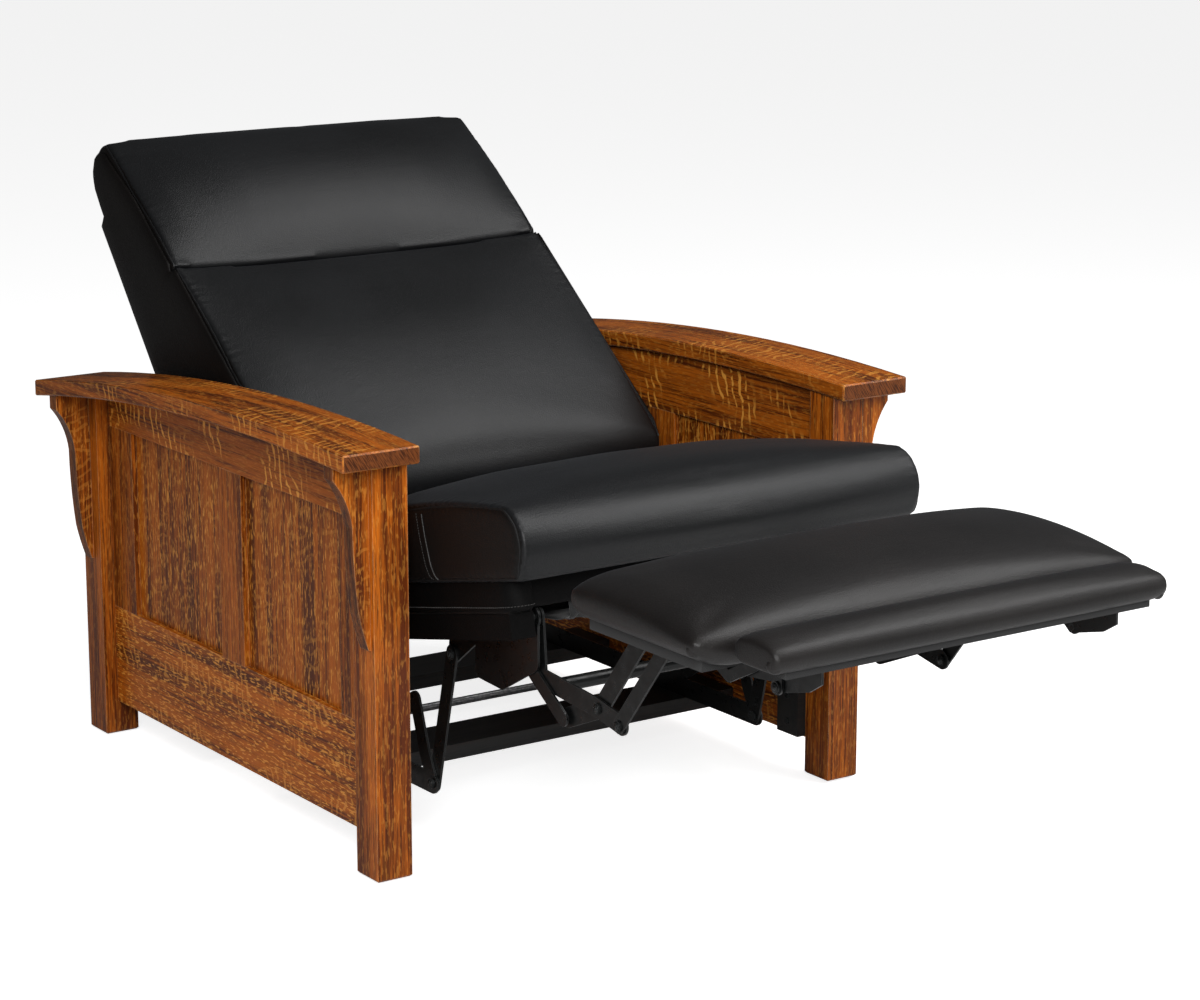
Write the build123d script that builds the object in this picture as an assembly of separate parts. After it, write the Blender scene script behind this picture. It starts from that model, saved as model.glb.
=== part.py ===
from build123d import *
from math import cos, hypot, radians, sin, sqrt
import os

# A wall hugger recliner with oak side frames, modelled fully reclined with the footrest open.
# Millimetres. X runs across the chair, the chair faces -Y, Z is up, and the floor is at 0.
# Places along Y are measured from the front face of the front legs and moved to the origin last.
ORIGIN_BEHIND_FRONT = 112.0

# Oak side frames
LEG = 50.8
LEG_SPREAD = 772.2
FRAME_DEPTH = 813.9
LEG_CHAMFER = 2.4
GLIDE_RADIUS = 11.0
GLIDE_HEIGHT = 2.4
RAIL_SETBACK = 20.0
RAIL_THICKNESS = 22.2
BOTTOM_RAIL_LOW = 50.0
BOTTOM_RAIL_HEIGHT = 143.0
TOP_RAIL_LOW = 457.0
TENON_LENGTH = 14.0
TENON_THICKNESS = 9.0
TENON_SHOULDER = 16.0
STILE_WIDTH = 67.5
CENTRE_STILE_WIDTH = 62.0
PANEL_THICKNESS = 8.0
PANEL_RECESS = 8.5
GROOVE_DEPTH = 7.0

# Bowed arms: one arc above and a parallel arc below
ARM_WIDTH = 109.5
ARM_THICKNESS = 22.4
ARM_INNER_OVERHANG = 3.8
ARM_FRONT_OVERHANG = 25.3
ARM_REAR_OVERHANG = 29.6
ARM_CROWN_HEIGHT = 571.0
ARM_CROWN_BACK = 196.0
ARM_BOW_RADIUS = 3983.0
ARM_EDGE = 1.8

# Corbels on the outer faces of the posts
CORBEL_HEIGHT = 240.0
CORBEL_PROJECTION = 50.0
CORBEL_THICKNESS = 21.0
CORBEL_SETBACK = 8.0
CORBEL_TOE_SHARES = [(0.06, 0.0), (0.17, 0.07), (0.33, 0.2)]
CORBEL_BELLY_SHARES = [(0.44, 0.45), (0.47, 0.66)]
CORBEL_SWEEP_SHARES = [(0.66, 0.81), (1.0, 0.925)]

# Fixed base of the mechanism
BASE_RAIL_DEPTH = 87.0
BASE_RAIL_THICKNESS = 21.0
BASE_RAIL_LOW = 59.0
FRONT_BASE_RAIL_BACK = 229.0
REAR_BASE_RAIL_BACK = 540.0
BASE_PLATE_HEIGHT = 28.0
BASE_PLATE_TAIL = 26.0
BASE_FLANGE_WIDTH = 24.0
BASE_ARM = [(18.0, 36.0), (40.0, 102.0)]
BASE_BRACE_FOOT = (196.0, 6.0)
BLOCK_THICKNESS = 22.0
BLOCK_DEPTH = 46.0
BLOCK_LOW = 56.0
BLOCK_HEIGHT = 74.0
REAR_ROD_RADIUS = 5.5

# Steel links: plates of one thickness stand side by side with a small gap
STEEL = 3.0
LAYER_GAP = 0.6
SEAT_PLATE_TO_BOX = 6.0
OTTOMAN_PLATE_INSET = 32.0
PIN_RADIUS = 4.0
SLIM_PIN_RADIUS = 3.0
SLOT_ROOM = 0.6
HEAD_RADIUS = 7.0
HEAD_HEIGHT = 2.2
SLEEVE_RADIUS = 6.5
RUNNING_CLEARANCE = 0.05
OPEN_PIVOT_CLEARANCE = 0.35
END_GAP = 0.3
SWING_LINK_WIDTH = 24.0
LINK_WIDTH = 25.0
WIDE_LINK_WIDTH = 25.0
SLIM_LINK_WIDTH = 20.0
FLIPPER_LINK_WIDTH = 13.0

# Pivots as (behind the front legs, above the floor), or as vectors between pivots
BASE_PIVOT = (68.0, 94.0)
SWING_LINK = (-45.0, 183.0)
SWING_SPACING = 290.0
LOWER_PIVOT = (-158.0, 366.0)
LOWER_LINK_BEND = (-7.0, -76.0)
LOWER_LINK_TO_CROSSING = (-130.0, -85.0)
CROSSING_TO_KNEE = (-48.0, -9.0)
CROSSING_TO_TAIL = (71.0, -30.0)
UPPER_LINK = (-87.0, 109.0)
FLIPPER_HINGE_FROM_REAR_PIVOT = (-227.0, -10.0)
FLIPPER_DRIVE_ARM = (8.3, -11.27)
FLIPPER_HORN = (10.98, 8.69)
FLIPPER_SLOT_TRAVEL = 8.6
BACK_PIVOT = (330.0, 392.0)
TIE_TUBE_RADIUS = 9.0
TIE_TUBE_WALL = 1.6
TIE_TUBE_FROM_BEND = (-38.0, -1.0)

# Seat carriage, laid out in a frame that tips up to the front
SEAT_TILT = 12.5
SEAT_REAR = (282.0, 318.5)
SEAT_LENGTH = 524.0
SEAT_TO_LEG = 24.3
SEAT_EDGE_HEIGHT = 95.0
SEAT_CROWN = 34.0
SEAT_NOSE = 33.0
SEAT_TOE = 24.0
SEAT_REAR_ROLL = 30.0
SEAT_BELLY_SHARE = 0.62
BOX_LENGTH = 450.0
BOX_HEIGHT = 72.0
BOX_RAIL_THICKNESS = 32.0
BOX_UNDER_SEAT = 17.0
CROSS_RAIL_HEIGHT = 22.0
CROSS_RAIL_THICKNESS = 22.0
WEBBING_THICKNESS = 1.5
WEBBING_WIDTH = 50.0
DECK_THICKNESS = 2.6
LONG_STRAPS = 6
CROSS_STRAPS = 4
BAND_HEIGHT = 32.0
BAND_THICKNESS = 3.0
PLATE_STRIP_DROP = 50.0
PLATE_STRIP_WIDTH = 30.0
PLATE_BOLTS = 4

# Back, laid out in a frame along its face, from the foot of the face upwards
BACK_TILT = 37.7
BACK_FOOT = (308.0, 433.0)
LUMBAR_LENGTH = 447.0
BACK_TO_SEAT_SIDE = 9.0
LUMBAR_EDGE = 62.0
LUMBAR_CROWN = 20.0
LUMBAR_FOOT = 26.0
LUMBAR_FOOT_RISE = 17.0
LUMBAR_FOOT_DROP = 50.0
CREASE_DEPTH = 18.0
HEAD_TOP = (700.0, -24.0)
HEAD_TIP = (713.0, -58.0)
HEAD_BROW = (709.5, -40.0)
HEAD_ROLL = (690.0, -98.0)
HEAD_LIP_DEPTH = 108.0
HEAD_CROWN = 27.0
HEAD_RISE = 9.0
BACK_PANEL_THICKNESS = 17.0
BACK_PANEL_REVEAL = 1.0
BACK_DEPTH_TOP = 126.0
BACK_DEPTH_FOOT = 253.0
BACK_HEIGHT = 636.0
BACK_FOOT_RISE = 100.0
BACK_TOE_RISE = 14.0
BACK_TOE_DEPTH = 106.0
FACE_DEPTH = 76.0
BACK_STILE_WIDTH = 44.0
BACK_STILE_THICKNESS = 22.0
BACK_RAIL_HEIGHT = 44.0
BACK_RAIL_THICKNESS = 20.0
OUTSIDE_BACK_THICKNESS = 6.0
BACK_BRACKET_REACH = 150.0

# Footrest
OTTOMAN_REAR = -334.0
OTTOMAN_LENGTH = 268.0
OTTOMAN_TO_LEG = 2.3
OTTOMAN_UNDERSIDE = 405.0
OTTOMAN_SKIRT = 2.0
OTTOMAN_BOARD_THICKNESS = 16.0
OTTOMAN_BOARD_SIDE_INSET = 24.0
OTTOMAN_BOARD_END_INSET = 25.0
FLIPPER_LENGTH = 84.0
FLIPPER_GAP = 4.5
FLIPPER_SIDE_INSET = 41.0
FLIPPER_UNDERSIDE = 414.0
FLIPPER_SKIRT = 6.0
FLIPPER_BOARD_THICKNESS = 12.0
FLIPPER_BRACKET_CORNER = (-653.0, 393.0)
FLIPPER_BOARD_SIDE_INSET = 22.0
FLIPPER_BOARD_END_INSET = 13.0
OTTOMAN_FLANGE_WIDTH = 17.0
NOSE_DROP = 34.0
BRACKET_STRIP = 14.0
SCREW_RADIUS = 4.5
SCREW_HEAD_HEIGHT = 2.4
HINGE_EAR = 18.0

# Stations of the soft pieces, from the middle to one end. Seat and back: share of the half width
# and share of the crown. Footrest: share of the half width, then drawn in, underside, rear edge,
# middle and front edge, each as a share of the pad's full thickness.
CROWN_SHARES = [(0.0, 1.0), (0.5, 0.9), (0.86, 0.56), (1.0, 0.16)]
OTTOMAN_FULL = 78.0
OTTOMAN_SHARES = [(0.0, 0.0, 0.0, 0.9, 1.0, 0.7), (0.55, 0.0, 0.0, 0.88, 0.97, 0.68),
                  (0.86, 0.0, 0.03, 0.8, 0.87, 0.62), (0.95, 0.05, 0.14, 0.73, 0.77, 0.57),
                  (1.0, 0.14, 0.35, 0.62, 0.64, 0.5)]
FLIPPER_FULL = 38.0
FLIPPER_SHARES = [(0.0, 0.0, 0.0, 0.93, 1.0, 0.74), (0.6, 0.0, 0.0, 0.92, 0.98, 0.73),
                  (0.92, 0.0, 0.03, 0.86, 0.9, 0.68), (1.0, 0.1, 0.16, 0.7, 0.73, 0.58)]
PAD_TOE = 15.0
PAD_NOSE = 17.0
HALF = 0.5

# Places worked out from the sizes above
LEG_INNER = LEG_SPREAD / 2 - LEG
RAIL_OUTER = LEG_SPREAD / 2 - RAIL_SETBACK
RAIL_INNER = RAIL_OUTER - RAIL_THICKNESS
PANEL_OUTER = RAIL_OUTER - PANEL_RECESS
REAR_LEG_FRONT = FRAME_DEPTH - LEG
BOTTOM_RAIL_TOP = BOTTOM_RAIL_LOW + BOTTOM_RAIL_HEIGHT
BASE_RAIL_TOP = BASE_RAIL_LOW + BASE_RAIL_THICKNESS
SEAT_WIDTH = 2 * (LEG_INNER - SEAT_TO_LEG)
BOX_RAIL_INNER = SEAT_WIDTH / 2 - BOX_UNDER_SEAT - BOX_RAIL_THICKNESS
SEAT_PLATE_OUTER = BOX_RAIL_INNER - SEAT_PLATE_TO_BOX
OTTOMAN_PLATE_OUTER = SEAT_PLATE_OUTER - OTTOMAN_PLATE_INSET
BACK_CUSHION_WIDTH = SEAT_WIDTH - 2 * BACK_TO_SEAT_SIDE
BACK_PANEL_WIDTH = BACK_CUSHION_WIDTH + 2 * BACK_PANEL_REVEAL
OTTOMAN_WIDTH = 2 * (LEG_INNER - OTTOMAN_TO_LEG)
FLIPPER_WIDTH = OTTOMAN_WIDTH - 2 * FLIPPER_SIDE_INSET
PITCH = STEEL + LAYER_GAP


def add(point, *vectors):
    """Return a place moved by the given vectors."""
    return (point[0] + sum(v[0] for v in vectors), point[1] + sum(v[1] for v in vectors))


def turned(vector, degrees_up):
    """Turn a vector in the side view, positive from +Y towards +Z."""
    turn = radians(degrees_up)
    return (vector[0] * cos(turn) - vector[1] * sin(turn), vector[0] * sin(turn) + vector[1] * cos(turn))


SEAT_PIVOT = add(BASE_PIVOT, SWING_LINK)
REAR_BASE_PIVOT = add(BASE_PIVOT, (SWING_SPACING, 0))
REAR_SEAT_PIVOT = add(SEAT_PIVOT, (SWING_SPACING, 0))
BEND = add(LOWER_PIVOT, LOWER_LINK_BEND)
CROSSING = add(LOWER_PIVOT, LOWER_LINK_TO_CROSSING)
KNEE = add(CROSSING, CROSSING_TO_KNEE)
TAIL = add(CROSSING, CROSSING_TO_TAIL)
FOLLOWER_PIVOT = add(LOWER_PIVOT, CROSSING_TO_TAIL)
OTTOMAN_REAR_PIVOT = add(CROSSING, UPPER_LINK)
OTTOMAN_FRONT_PIVOT = add(KNEE, UPPER_LINK)
DRIVE_PIVOT = add(OTTOMAN_FRONT_PIVOT, FLIPPER_DRIVE_ARM)
FLIPPER_HINGE = add(OTTOMAN_REAR_PIVOT, FLIPPER_HINGE_FROM_REAR_PIVOT)
HORN_PIVOT = add(FLIPPER_HINGE, FLIPPER_HORN)
TIE_TUBE = add(BEND, TIE_TUBE_FROM_BEND)


def layer(number, datum=SEAT_PLATE_OUTER):
    """Return the outer and inner distances from the middle of one plate layer, counted inwards."""
    outer = datum - number * PITCH
    return outer, outer - STEEL


def slab(x0, x1, y0, y1, z0, z1):
    """Return a block between two corners."""
    block = Box(x1 - x0, y1 - y0, z1 - z0)
    return Pos((x0 + x1) / 2, (y0 + y1) / 2, (z0 + z1) / 2) * block


def across(sketch, x0, x1):
    """Extrude a side-view sketch from one distance to another across the chair."""
    low, high = min(x0, x1), max(x0, x1)
    return extrude(Plane.YZ.offset(low) * sketch, amount=high - low)


def both(solid):
    """Return a solid of the left side with its twin on the right side."""
    return Compound(children=[*solid.solids(), *mirror(solid, Plane.YZ).solids()])


def disc(point, radius):
    """Return a round of the side view."""
    return Pos(point[0], point[1]) * Circle(radius)


def strap(start, end, width):
    """Return a bar with round ends between two points of the side view."""
    length = hypot(end[0] - start[0], end[1] - start[1])
    half = width / 2
    along = ((end[0] - start[0]) / length * half, (end[1] - start[1]) / length * half)
    side, other = (-along[1], along[0]), (along[1], -along[0])
    back = (-along[0], -along[1])
    return make_face([Line(add(start, side), add(end, side)),
                      ThreePointArc(add(end, side), add(end, along), add(end, other)),
                      Line(add(end, other), add(start, other)),
                      ThreePointArc(add(start, other), add(start, back), add(start, side))])


def chain(points, width):
    """Return one outline made of bars through a row of points."""
    outline = strap(points[0], points[1], width)
    for start, end in zip(points[1:], points[2:]):
        outline += strap(start, end, width)
    return outline


def plate(outline, number, holes, datum=SEAT_PLATE_OUTER):
    """Return a steel plate of the left side in one layer, with round holes as (point, radius)."""
    outer, inner = layer(number, datum)
    body = across(outline, inner, outer)
    for point, radius in holes:
        body -= across(disc(point, radius), inner, outer)
    return body


def pin(point, outer, inner, outer_head=True, inner_head=True, radius=PIN_RADIUS):
    """Return a rivet of the left side along X, with a head on the ends that are named."""
    shank_outer = outer + END_GAP if outer_head else outer
    shank_inner = inner - END_GAP if inner_head else inner
    head_radius = HEAD_RADIUS * radius / PIN_RADIUS
    body = across(disc(point, radius), shank_inner, shank_outer)
    if outer_head:
        body += across(disc(point, head_radius), shank_outer, shank_outer + HEAD_HEIGHT)
    if inner_head:
        body += across(disc(point, head_radius), shank_inner - HEAD_HEIGHT, shank_inner)
    return body


def screw(point, outer, inner):
    """Return a fastener of the left side along X with one outer head."""
    return (across(disc(point, PIN_RADIUS), inner, outer)
            + across(disc(point, HEAD_RADIUS), outer, outer + SCREW_HEAD_HEIGHT))


def running(point, radius=PIN_RADIUS):
    """Return a hole that turns on its pin."""
    return (point, radius + RUNNING_CLEARANCE)


def fixed(point, radius=PIN_RADIUS):
    """Return a hole that grips its pin."""
    return (point, radius)


def opened(point):
    """Return a hole with room, at a pivot that only follows."""
    return (point, PIN_RADIUS + OPEN_PIVOT_CLEARANCE)


def bow(y, drop=0):
    """Return the height of the arm's arc, or of its parallel arc a drop below."""
    radius = ARM_BOW_RADIUS - drop
    return ARM_CROWN_HEIGHT - ARM_BOW_RADIUS + sqrt(radius ** 2 - (y - ARM_CROWN_BACK) ** 2)


def bow_arc(y0, y1, drop=0):
    """Return one arc of the arm in the side view."""
    middle = (y0 + y1) / 2
    return ThreePointArc((y0, bow(y0, drop)), (middle, bow(middle, drop)), (y1, bow(y1, drop)))


def under_arm(x0, x1, y0, y1, low):
    """Return what lies between a level and the underside of the arm."""
    left, right = (y0, bow(y0, ARM_THICKNESS)), (y1, bow(y1, ARM_THICKNESS))
    outline = make_face([bow_arc(y0, y1, ARM_THICKNESS), Line(right, (y1, low)),
                         Line((y1, low), (y0, low)), Line((y0, low), left)])
    return across(outline, x0, x1)


def side_frame():
    """Return the nodes of the left side frame as a name and a solid each."""
    outer = LEG_SPREAD / 2
    shoulder = TENON_SHOULDER
    middle = RAIL_INNER + RAIL_THICKNESS / 2
    tenon_in, tenon_out = middle - TENON_THICKNESS / 2, middle + TENON_THICKNESS / 2
    y0, y1 = LEG, REAR_LEG_FRONT
    bottom_rail = slab(RAIL_INNER, RAIL_OUTER, y0, y1, BOTTOM_RAIL_LOW, BOTTOM_RAIL_TOP)
    bottom_rail += slab(tenon_in, tenon_out, y0 - TENON_LENGTH, y1 + TENON_LENGTH,
                        BOTTOM_RAIL_LOW + shoulder, BOTTOM_RAIL_TOP - shoulder)
    top_rail = under_arm(RAIL_INNER, RAIL_OUTER, y0, y1, TOP_RAIL_LOW)
    top_tenon_high = bow(y1, ARM_THICKNESS) - shoulder / 2
    top_rail += slab(tenon_in, tenon_out, y0 - TENON_LENGTH, y1 + TENON_LENGTH,
                     TOP_RAIL_LOW + shoulder / 2, top_tenon_high - shoulder / 2)
    legs = {}
    for name, start in (("front_leg", 0), ("rear_leg", REAR_LEG_FRONT)):
        leg = under_arm(LEG_INNER, outer, start, start + LEG, GLIDE_HEIGHT)
        leg = chamfer(leg.faces().sort_by(Axis.Z)[0].edges(), LEG_CHAMFER)
        legs[name] = leg - bottom_rail - top_rail
    gap_centre = (y0 + y1) / 2
    spans = [(y0, y0 + STILE_WIDTH),
             (gap_centre - CENTRE_STILE_WIDTH / 2, gap_centre + CENTRE_STILE_WIDTH / 2),
             (y1 - STILE_WIDTH, y1)]
    stiles = [slab(RAIL_INNER, RAIL_OUTER, a, b, BOTTOM_RAIL_TOP, TOP_RAIL_LOW) for a, b in spans]
    panels = []
    for (_, left), (right, _) in zip(spans, spans[1:]):
        panels.append(slab(PANEL_OUTER - PANEL_THICKNESS, PANEL_OUTER, left - GROOVE_DEPTH,
                           right + GROOVE_DEPTH, BOTTOM_RAIL_TOP - GROOVE_DEPTH,
                           TOP_RAIL_LOW + GROOVE_DEPTH))
    for panel in panels:
        bottom_rail -= panel
        top_rail -= panel
        stiles = [stile - panel for stile in stiles]
    return {**legs, "bottom_rail": bottom_rail, "top_rail": top_rail,
            "stiles": Compound(children=stiles), "panels": Compound(children=panels),
            "arm": arm(), "corbels": Compound(children=[corbel(CORBEL_SETBACK + CORBEL_THICKNESS),
                                                        corbel(FRAME_DEPTH - CORBEL_SETBACK)])}


def arm():
    """Return the left arm: a board bowed along one arc with eased edges."""
    y0, y1 = -ARM_FRONT_OVERHANG, FRAME_DEPTH + ARM_REAR_OVERHANG
    outline = make_face([bow_arc(y0, y1), Line((y1, bow(y1)), (y1, bow(y1, ARM_THICKNESS))),
                         bow_arc(y0, y1, ARM_THICKNESS),
                         Line((y0, bow(y0, ARM_THICKNESS)), (y0, bow(y0)))])
    inner = LEG_INNER - ARM_INNER_OVERHANG
    board = across(outline, inner, inner + ARM_WIDTH)
    return chamfer(board.edges(), ARM_EDGE)


def corbel(rear):
    """Return a left corbel whose rear face stands at the given place."""
    foot_z = bow(rear, ARM_THICKNESS) - CORBEL_HEIGHT

    def spot(shares):
        return (shares[0] * CORBEL_PROJECTION, foot_z + shares[1] * CORBEL_HEIGHT)

    toe = [spot(s) for s in CORBEL_TOE_SHARES]
    belly = [spot(s) for s in CORBEL_BELLY_SHARES]
    sweep_points = [spot(s) for s in CORBEL_SWEEP_SHARES]
    top = foot_z + CORBEL_HEIGHT + CORBEL_THICKNESS
    outline = make_face([Line((0, foot_z), toe[0]), ThreePointArc(toe[0], toe[1], toe[2]),
                         ThreePointArc(toe[2], belly[0], belly[1]),
                         ThreePointArc(belly[1], sweep_points[0], sweep_points[1]),
                         Line(sweep_points[1], (CORBEL_PROJECTION, top)),
                         Line((CORBEL_PROJECTION, top), (0, top)), Line((0, top), (0, foot_z))])
    outline = Pos(LEG_SPREAD / 2, 0) * outline
    block = extrude(Plane.XZ.offset(-rear) * outline, amount=CORBEL_THICKNESS)
    room = under_arm(LEG_SPREAD / 2, LEG_SPREAD / 2 + CORBEL_PROJECTION,
                     rear - CORBEL_THICKNESS, rear, 0)
    return block & room


def glides():
    """Return the four glides under the legs."""
    pair = []
    for y in (LEG / 2, FRAME_DEPTH - LEG / 2):
        spot = Pos(LEG_INNER + LEG / 2, y, GLIDE_HEIGHT / 2)
        pair.append(spot * Cylinder(GLIDE_RADIUS, GLIDE_HEIGHT))
    return both(Compound(children=pair))


def base_rail(back):
    """Return one cross rail between the side frames."""
    return slab(-RAIL_INNER, RAIL_INNER, back, back + BASE_RAIL_DEPTH, BASE_RAIL_LOW, BASE_RAIL_TOP)


def base_plate():
    """Return the left base plate: a braced steel angle that stands on the cross rails."""
    tail = REAR_BASE_RAIL_BACK + BASE_RAIL_DEPTH - BASE_PLATE_TAIL
    low = BASE_RAIL_TOP
    web = Pos((BASE_PIVOT[0] + tail) / 2, low + BASE_PLATE_HEIGHT / 2) * Rectangle(
        tail - BASE_PIVOT[0], BASE_PLATE_HEIGHT)
    elbow, shoulder = [add(BASE_PIVOT, reach) for reach in BASE_ARM]
    arm_outline = chain([BASE_PIVOT, elbow, shoulder, add(BASE_PIVOT, BASE_BRACE_FOOT)],
                        SWING_LINK_WIDTH)
    holes = [fixed(BASE_PIVOT), (REAR_BASE_PIVOT, REAR_ROD_RADIUS)]
    body = plate(disc(BASE_PIVOT, BASE_PLATE_HEIGHT / 2) + web + arm_outline, -2, holes)
    outer, inner = layer(-2)
    for start in (FRONT_BASE_RAIL_BACK, REAR_BASE_RAIL_BACK):
        end = min(start + BASE_RAIL_DEPTH, tail)
        body += slab(inner, outer + BASE_FLANGE_WIDTH, start, end, low, low + STEEL)
    return body


def front_blocks():
    """Return the black blocks in the corners behind the front legs."""
    start = LEG + LAYER_GAP
    return both(slab(RAIL_INNER - BLOCK_THICKNESS, RAIL_INNER, start, start + BLOCK_DEPTH,
                     BLOCK_LOW, BLOCK_LOW + BLOCK_HEIGHT))


def base_fasteners():
    """Return the front pivot rivets, the screws in the blocks and the bolts in the flanges."""
    inner = RAIL_INNER - BLOCK_THICKNESS
    pieces = [pin(BASE_PIVOT, layer(-2)[0], layer(-1)[1])]
    for height in (BLOCK_LOW + BLOCK_HEIGHT / 4, BLOCK_LOW + BLOCK_HEIGHT * 3 / 4):
        spot = (LEG + BLOCK_DEPTH * HALF, height)
        pieces.append(across(disc(spot, SCREW_RADIUS), inner - SCREW_HEAD_HEIGHT, inner))
    for start in (FRONT_BASE_RAIL_BACK, REAR_BASE_RAIL_BACK):
        spot = Pos(layer(-2)[0] + BASE_FLANGE_WIDTH / 2, start + BASE_RAIL_DEPTH / 4,
                   BASE_RAIL_TOP + STEEL + SCREW_HEAD_HEIGHT / 2)
        pieces.append(spot * Cylinder(HEAD_RADIUS, SCREW_HEAD_HEIGHT))
    return both(Compound(children=pieces))


def rear_cross_rod():
    """Return the rod across the base that the rear swing links turn on."""
    reach = layer(-2)[0] + HEAD_HEIGHT
    return across(disc(REAR_BASE_PIVOT, REAR_ROD_RADIUS), -reach, reach)


def swing_links(low, high, low_hole):
    """Return a pair of swing links between a base pivot and a seat pivot."""
    return both(plate(strap(low, high, SWING_LINK_WIDTH), -1, [low_hole, running(high)]))


def in_seat(y, z):
    """Return a side-view place from the seat's own frame, y to the rear of its rear bottom edge."""
    return add(SEAT_REAR, turned((y, z), -SEAT_TILT))


def seat_place():
    """Return the seat frame's location."""
    return Pos(0, SEAT_REAR[0], SEAT_REAR[1]) * Rot(-SEAT_TILT, 0, 0)


def seat_plate():
    """Return the left stamped seat plate that carries every pivot of the carriage."""
    drop = -PLATE_STRIP_DROP
    front, rear = in_seat(-BOX_LENGTH + PLATE_STRIP_WIDTH, drop), in_seat(PLATE_STRIP_WIDTH * HALF, drop)
    lobe = SWING_LINK_WIDTH
    body = strap(front, rear, PLATE_STRIP_WIDTH)
    body += chain([front, LOWER_PIVOT, in_seat(front_throat(), drop)], PLATE_STRIP_WIDTH)
    body += make_hull((disc(LOWER_PIVOT, lobe / 2) + disc(add(LOWER_PIVOT, (0, -lobe * 2.4)), lobe / 2)
                       + disc(add(FOLLOWER_PIVOT, (0, -lobe * 2.8)), lobe / 2)
                       + disc(add(FOLLOWER_PIVOT, (lobe * 2, -lobe * 2.7)), lobe / 2)
                       + disc(in_seat(front_throat(), drop), lobe / 2)).edges())
    body += make_hull((disc(add(FOLLOWER_PIVOT, (lobe * 2, -lobe * HALF)), lobe / 2)
                       + disc(SEAT_PIVOT, lobe / 2)
                       + disc(in_seat(SEAT_PIVOT[0] - SEAT_REAR[0], drop), lobe / 2)).edges())
    body += chain([rear, REAR_SEAT_PIVOT, add(BACK_PIVOT, (lobe / 2, -lobe * 2.6)), BACK_PIVOT], lobe)
    holes = [fixed(p) for p in (LOWER_PIVOT, FOLLOWER_PIVOT, SEAT_PIVOT, REAR_SEAT_PIVOT, BACK_PIVOT)]
    holes += [fixed(p) for p in plate_bolt_places()]
    return plate(body, 0, holes)


def front_throat():
    """Return where the plate's deep front part ends, along the seat."""
    return FOLLOWER_PIVOT[0] - SEAT_REAR[0] + SWING_LINK_WIDTH * 2


def plate_bolt_places():
    """Return the bolts along the seat plate's strip."""
    first, last = -BOX_LENGTH + PLATE_STRIP_WIDTH * 2, -PLATE_STRIP_WIDTH
    step = (last - first) / (PLATE_BOLTS - 1)
    return [in_seat(first + i * step, -PLATE_STRIP_DROP) for i in range(PLATE_BOLTS)]


def seat_fasteners():
    """Return the rivets that the seat plates carry, and the bolts and spacers to the side rails."""
    outer, inner = layer(0)
    pieces = [pin(SEAT_PIVOT, layer(-1)[0], inner), pin(REAR_SEAT_PIVOT, layer(-1)[0], inner),
              pin(LOWER_PIVOT, outer, layer(2)[1]),
              pin(FOLLOWER_PIVOT, outer, layer(1)[1], inner_head=False),
              pin(BACK_PIVOT, outer, layer(1)[1], inner_head=False)]
    for point in plate_bolt_places():
        spacer = across(disc(point, SLEEVE_RADIUS), outer, BOX_RAIL_INNER)
        shank = across(disc(point, PIN_RADIUS), inner, outer)
        head = across(disc(point, HEAD_RADIUS), inner - LAYER_GAP, inner)
        pieces.append(spacer + shank + head)
    return both(Compound(children=pieces))


def seat_box():
    """Return the wooden rails, the webbing, the deck and the band of the seat."""
    place = seat_place()
    rail_top = -(2 * WEBBING_THICKNESS + DECK_THICKNESS + LAYER_GAP)
    inner, outer = BOX_RAIL_INNER, BOX_RAIL_INNER + BOX_RAIL_THICKNESS
    side = slab(inner, outer, -BOX_LENGTH, 0, -BOX_HEIGHT, rail_top)
    front = slab(-inner, inner, -BOX_LENGTH, -BOX_LENGTH + CROSS_RAIL_THICKNESS,
                 rail_top - CROSS_RAIL_HEIGHT, rail_top)
    rear = slab(-inner, inner, -CROSS_RAIL_THICKNESS, 0, rail_top - CROSS_RAIL_HEIGHT, rail_top)
    straps = []
    step = (2 * inner - WEBBING_WIDTH) / LONG_STRAPS
    for i in range(LONG_STRAPS):
        x = -inner + WEBBING_WIDTH / 2 + step * (i + HALF)
        straps.append(slab(x - WEBBING_WIDTH / 2, x + WEBBING_WIDTH / 2, -BOX_LENGTH, 0,
                           rail_top, rail_top + WEBBING_THICKNESS))
    step = BOX_LENGTH / (CROSS_STRAPS + 1)
    for i in range(CROSS_STRAPS):
        y = -BOX_LENGTH + step * (i + 1)
        straps.append(slab(-outer, outer, y - WEBBING_WIDTH / 2, y + WEBBING_WIDTH / 2,
                           rail_top + WEBBING_THICKNESS, rail_top + 2 * WEBBING_THICKNESS))
    deck_low = rail_top + 2 * WEBBING_THICKNESS
    deck = slab(-outer, outer, -BOX_LENGTH, 0, deck_low, deck_low + DECK_THICKNESS)
    shell = slab(-outer - BAND_THICKNESS, outer + BAND_THICKNESS, -BOX_LENGTH - BAND_THICKNESS, 0,
                 -BOX_HEIGHT, -BOX_HEIGHT + BAND_HEIGHT)
    core = slab(-outer, outer, -BOX_LENGTH, 0, -BOX_HEIGHT, -BOX_HEIGHT + BAND_HEIGHT)
    middle = slab(-inner, inner, -BOX_LENGTH - BAND_THICKNESS, -BOX_LENGTH, -BOX_HEIGHT,
                  -BOX_HEIGHT + BAND_HEIGHT)
    return {"seat_side_rails": place * both(side), "seat_front_rail": place * front,
            "seat_rear_rail": place * rear, "seat_webbing": place * Compound(children=straps),
            "seat_deck": place * deck, "seat_band": place * (shell - core - middle)}


def lofted(width, stations, section):
    """Return a soft piece: a loft through one section per station, mirrored to the other half."""
    ends = [(-share[0], share[1:]) for share in reversed(stations) if share[0] > 0]
    rows = ends + [(share[0], share[1:]) for share in stations]
    return loft([Plane.YZ.offset(x * width / 2) * section(*values) for x, values in rows])


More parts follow.
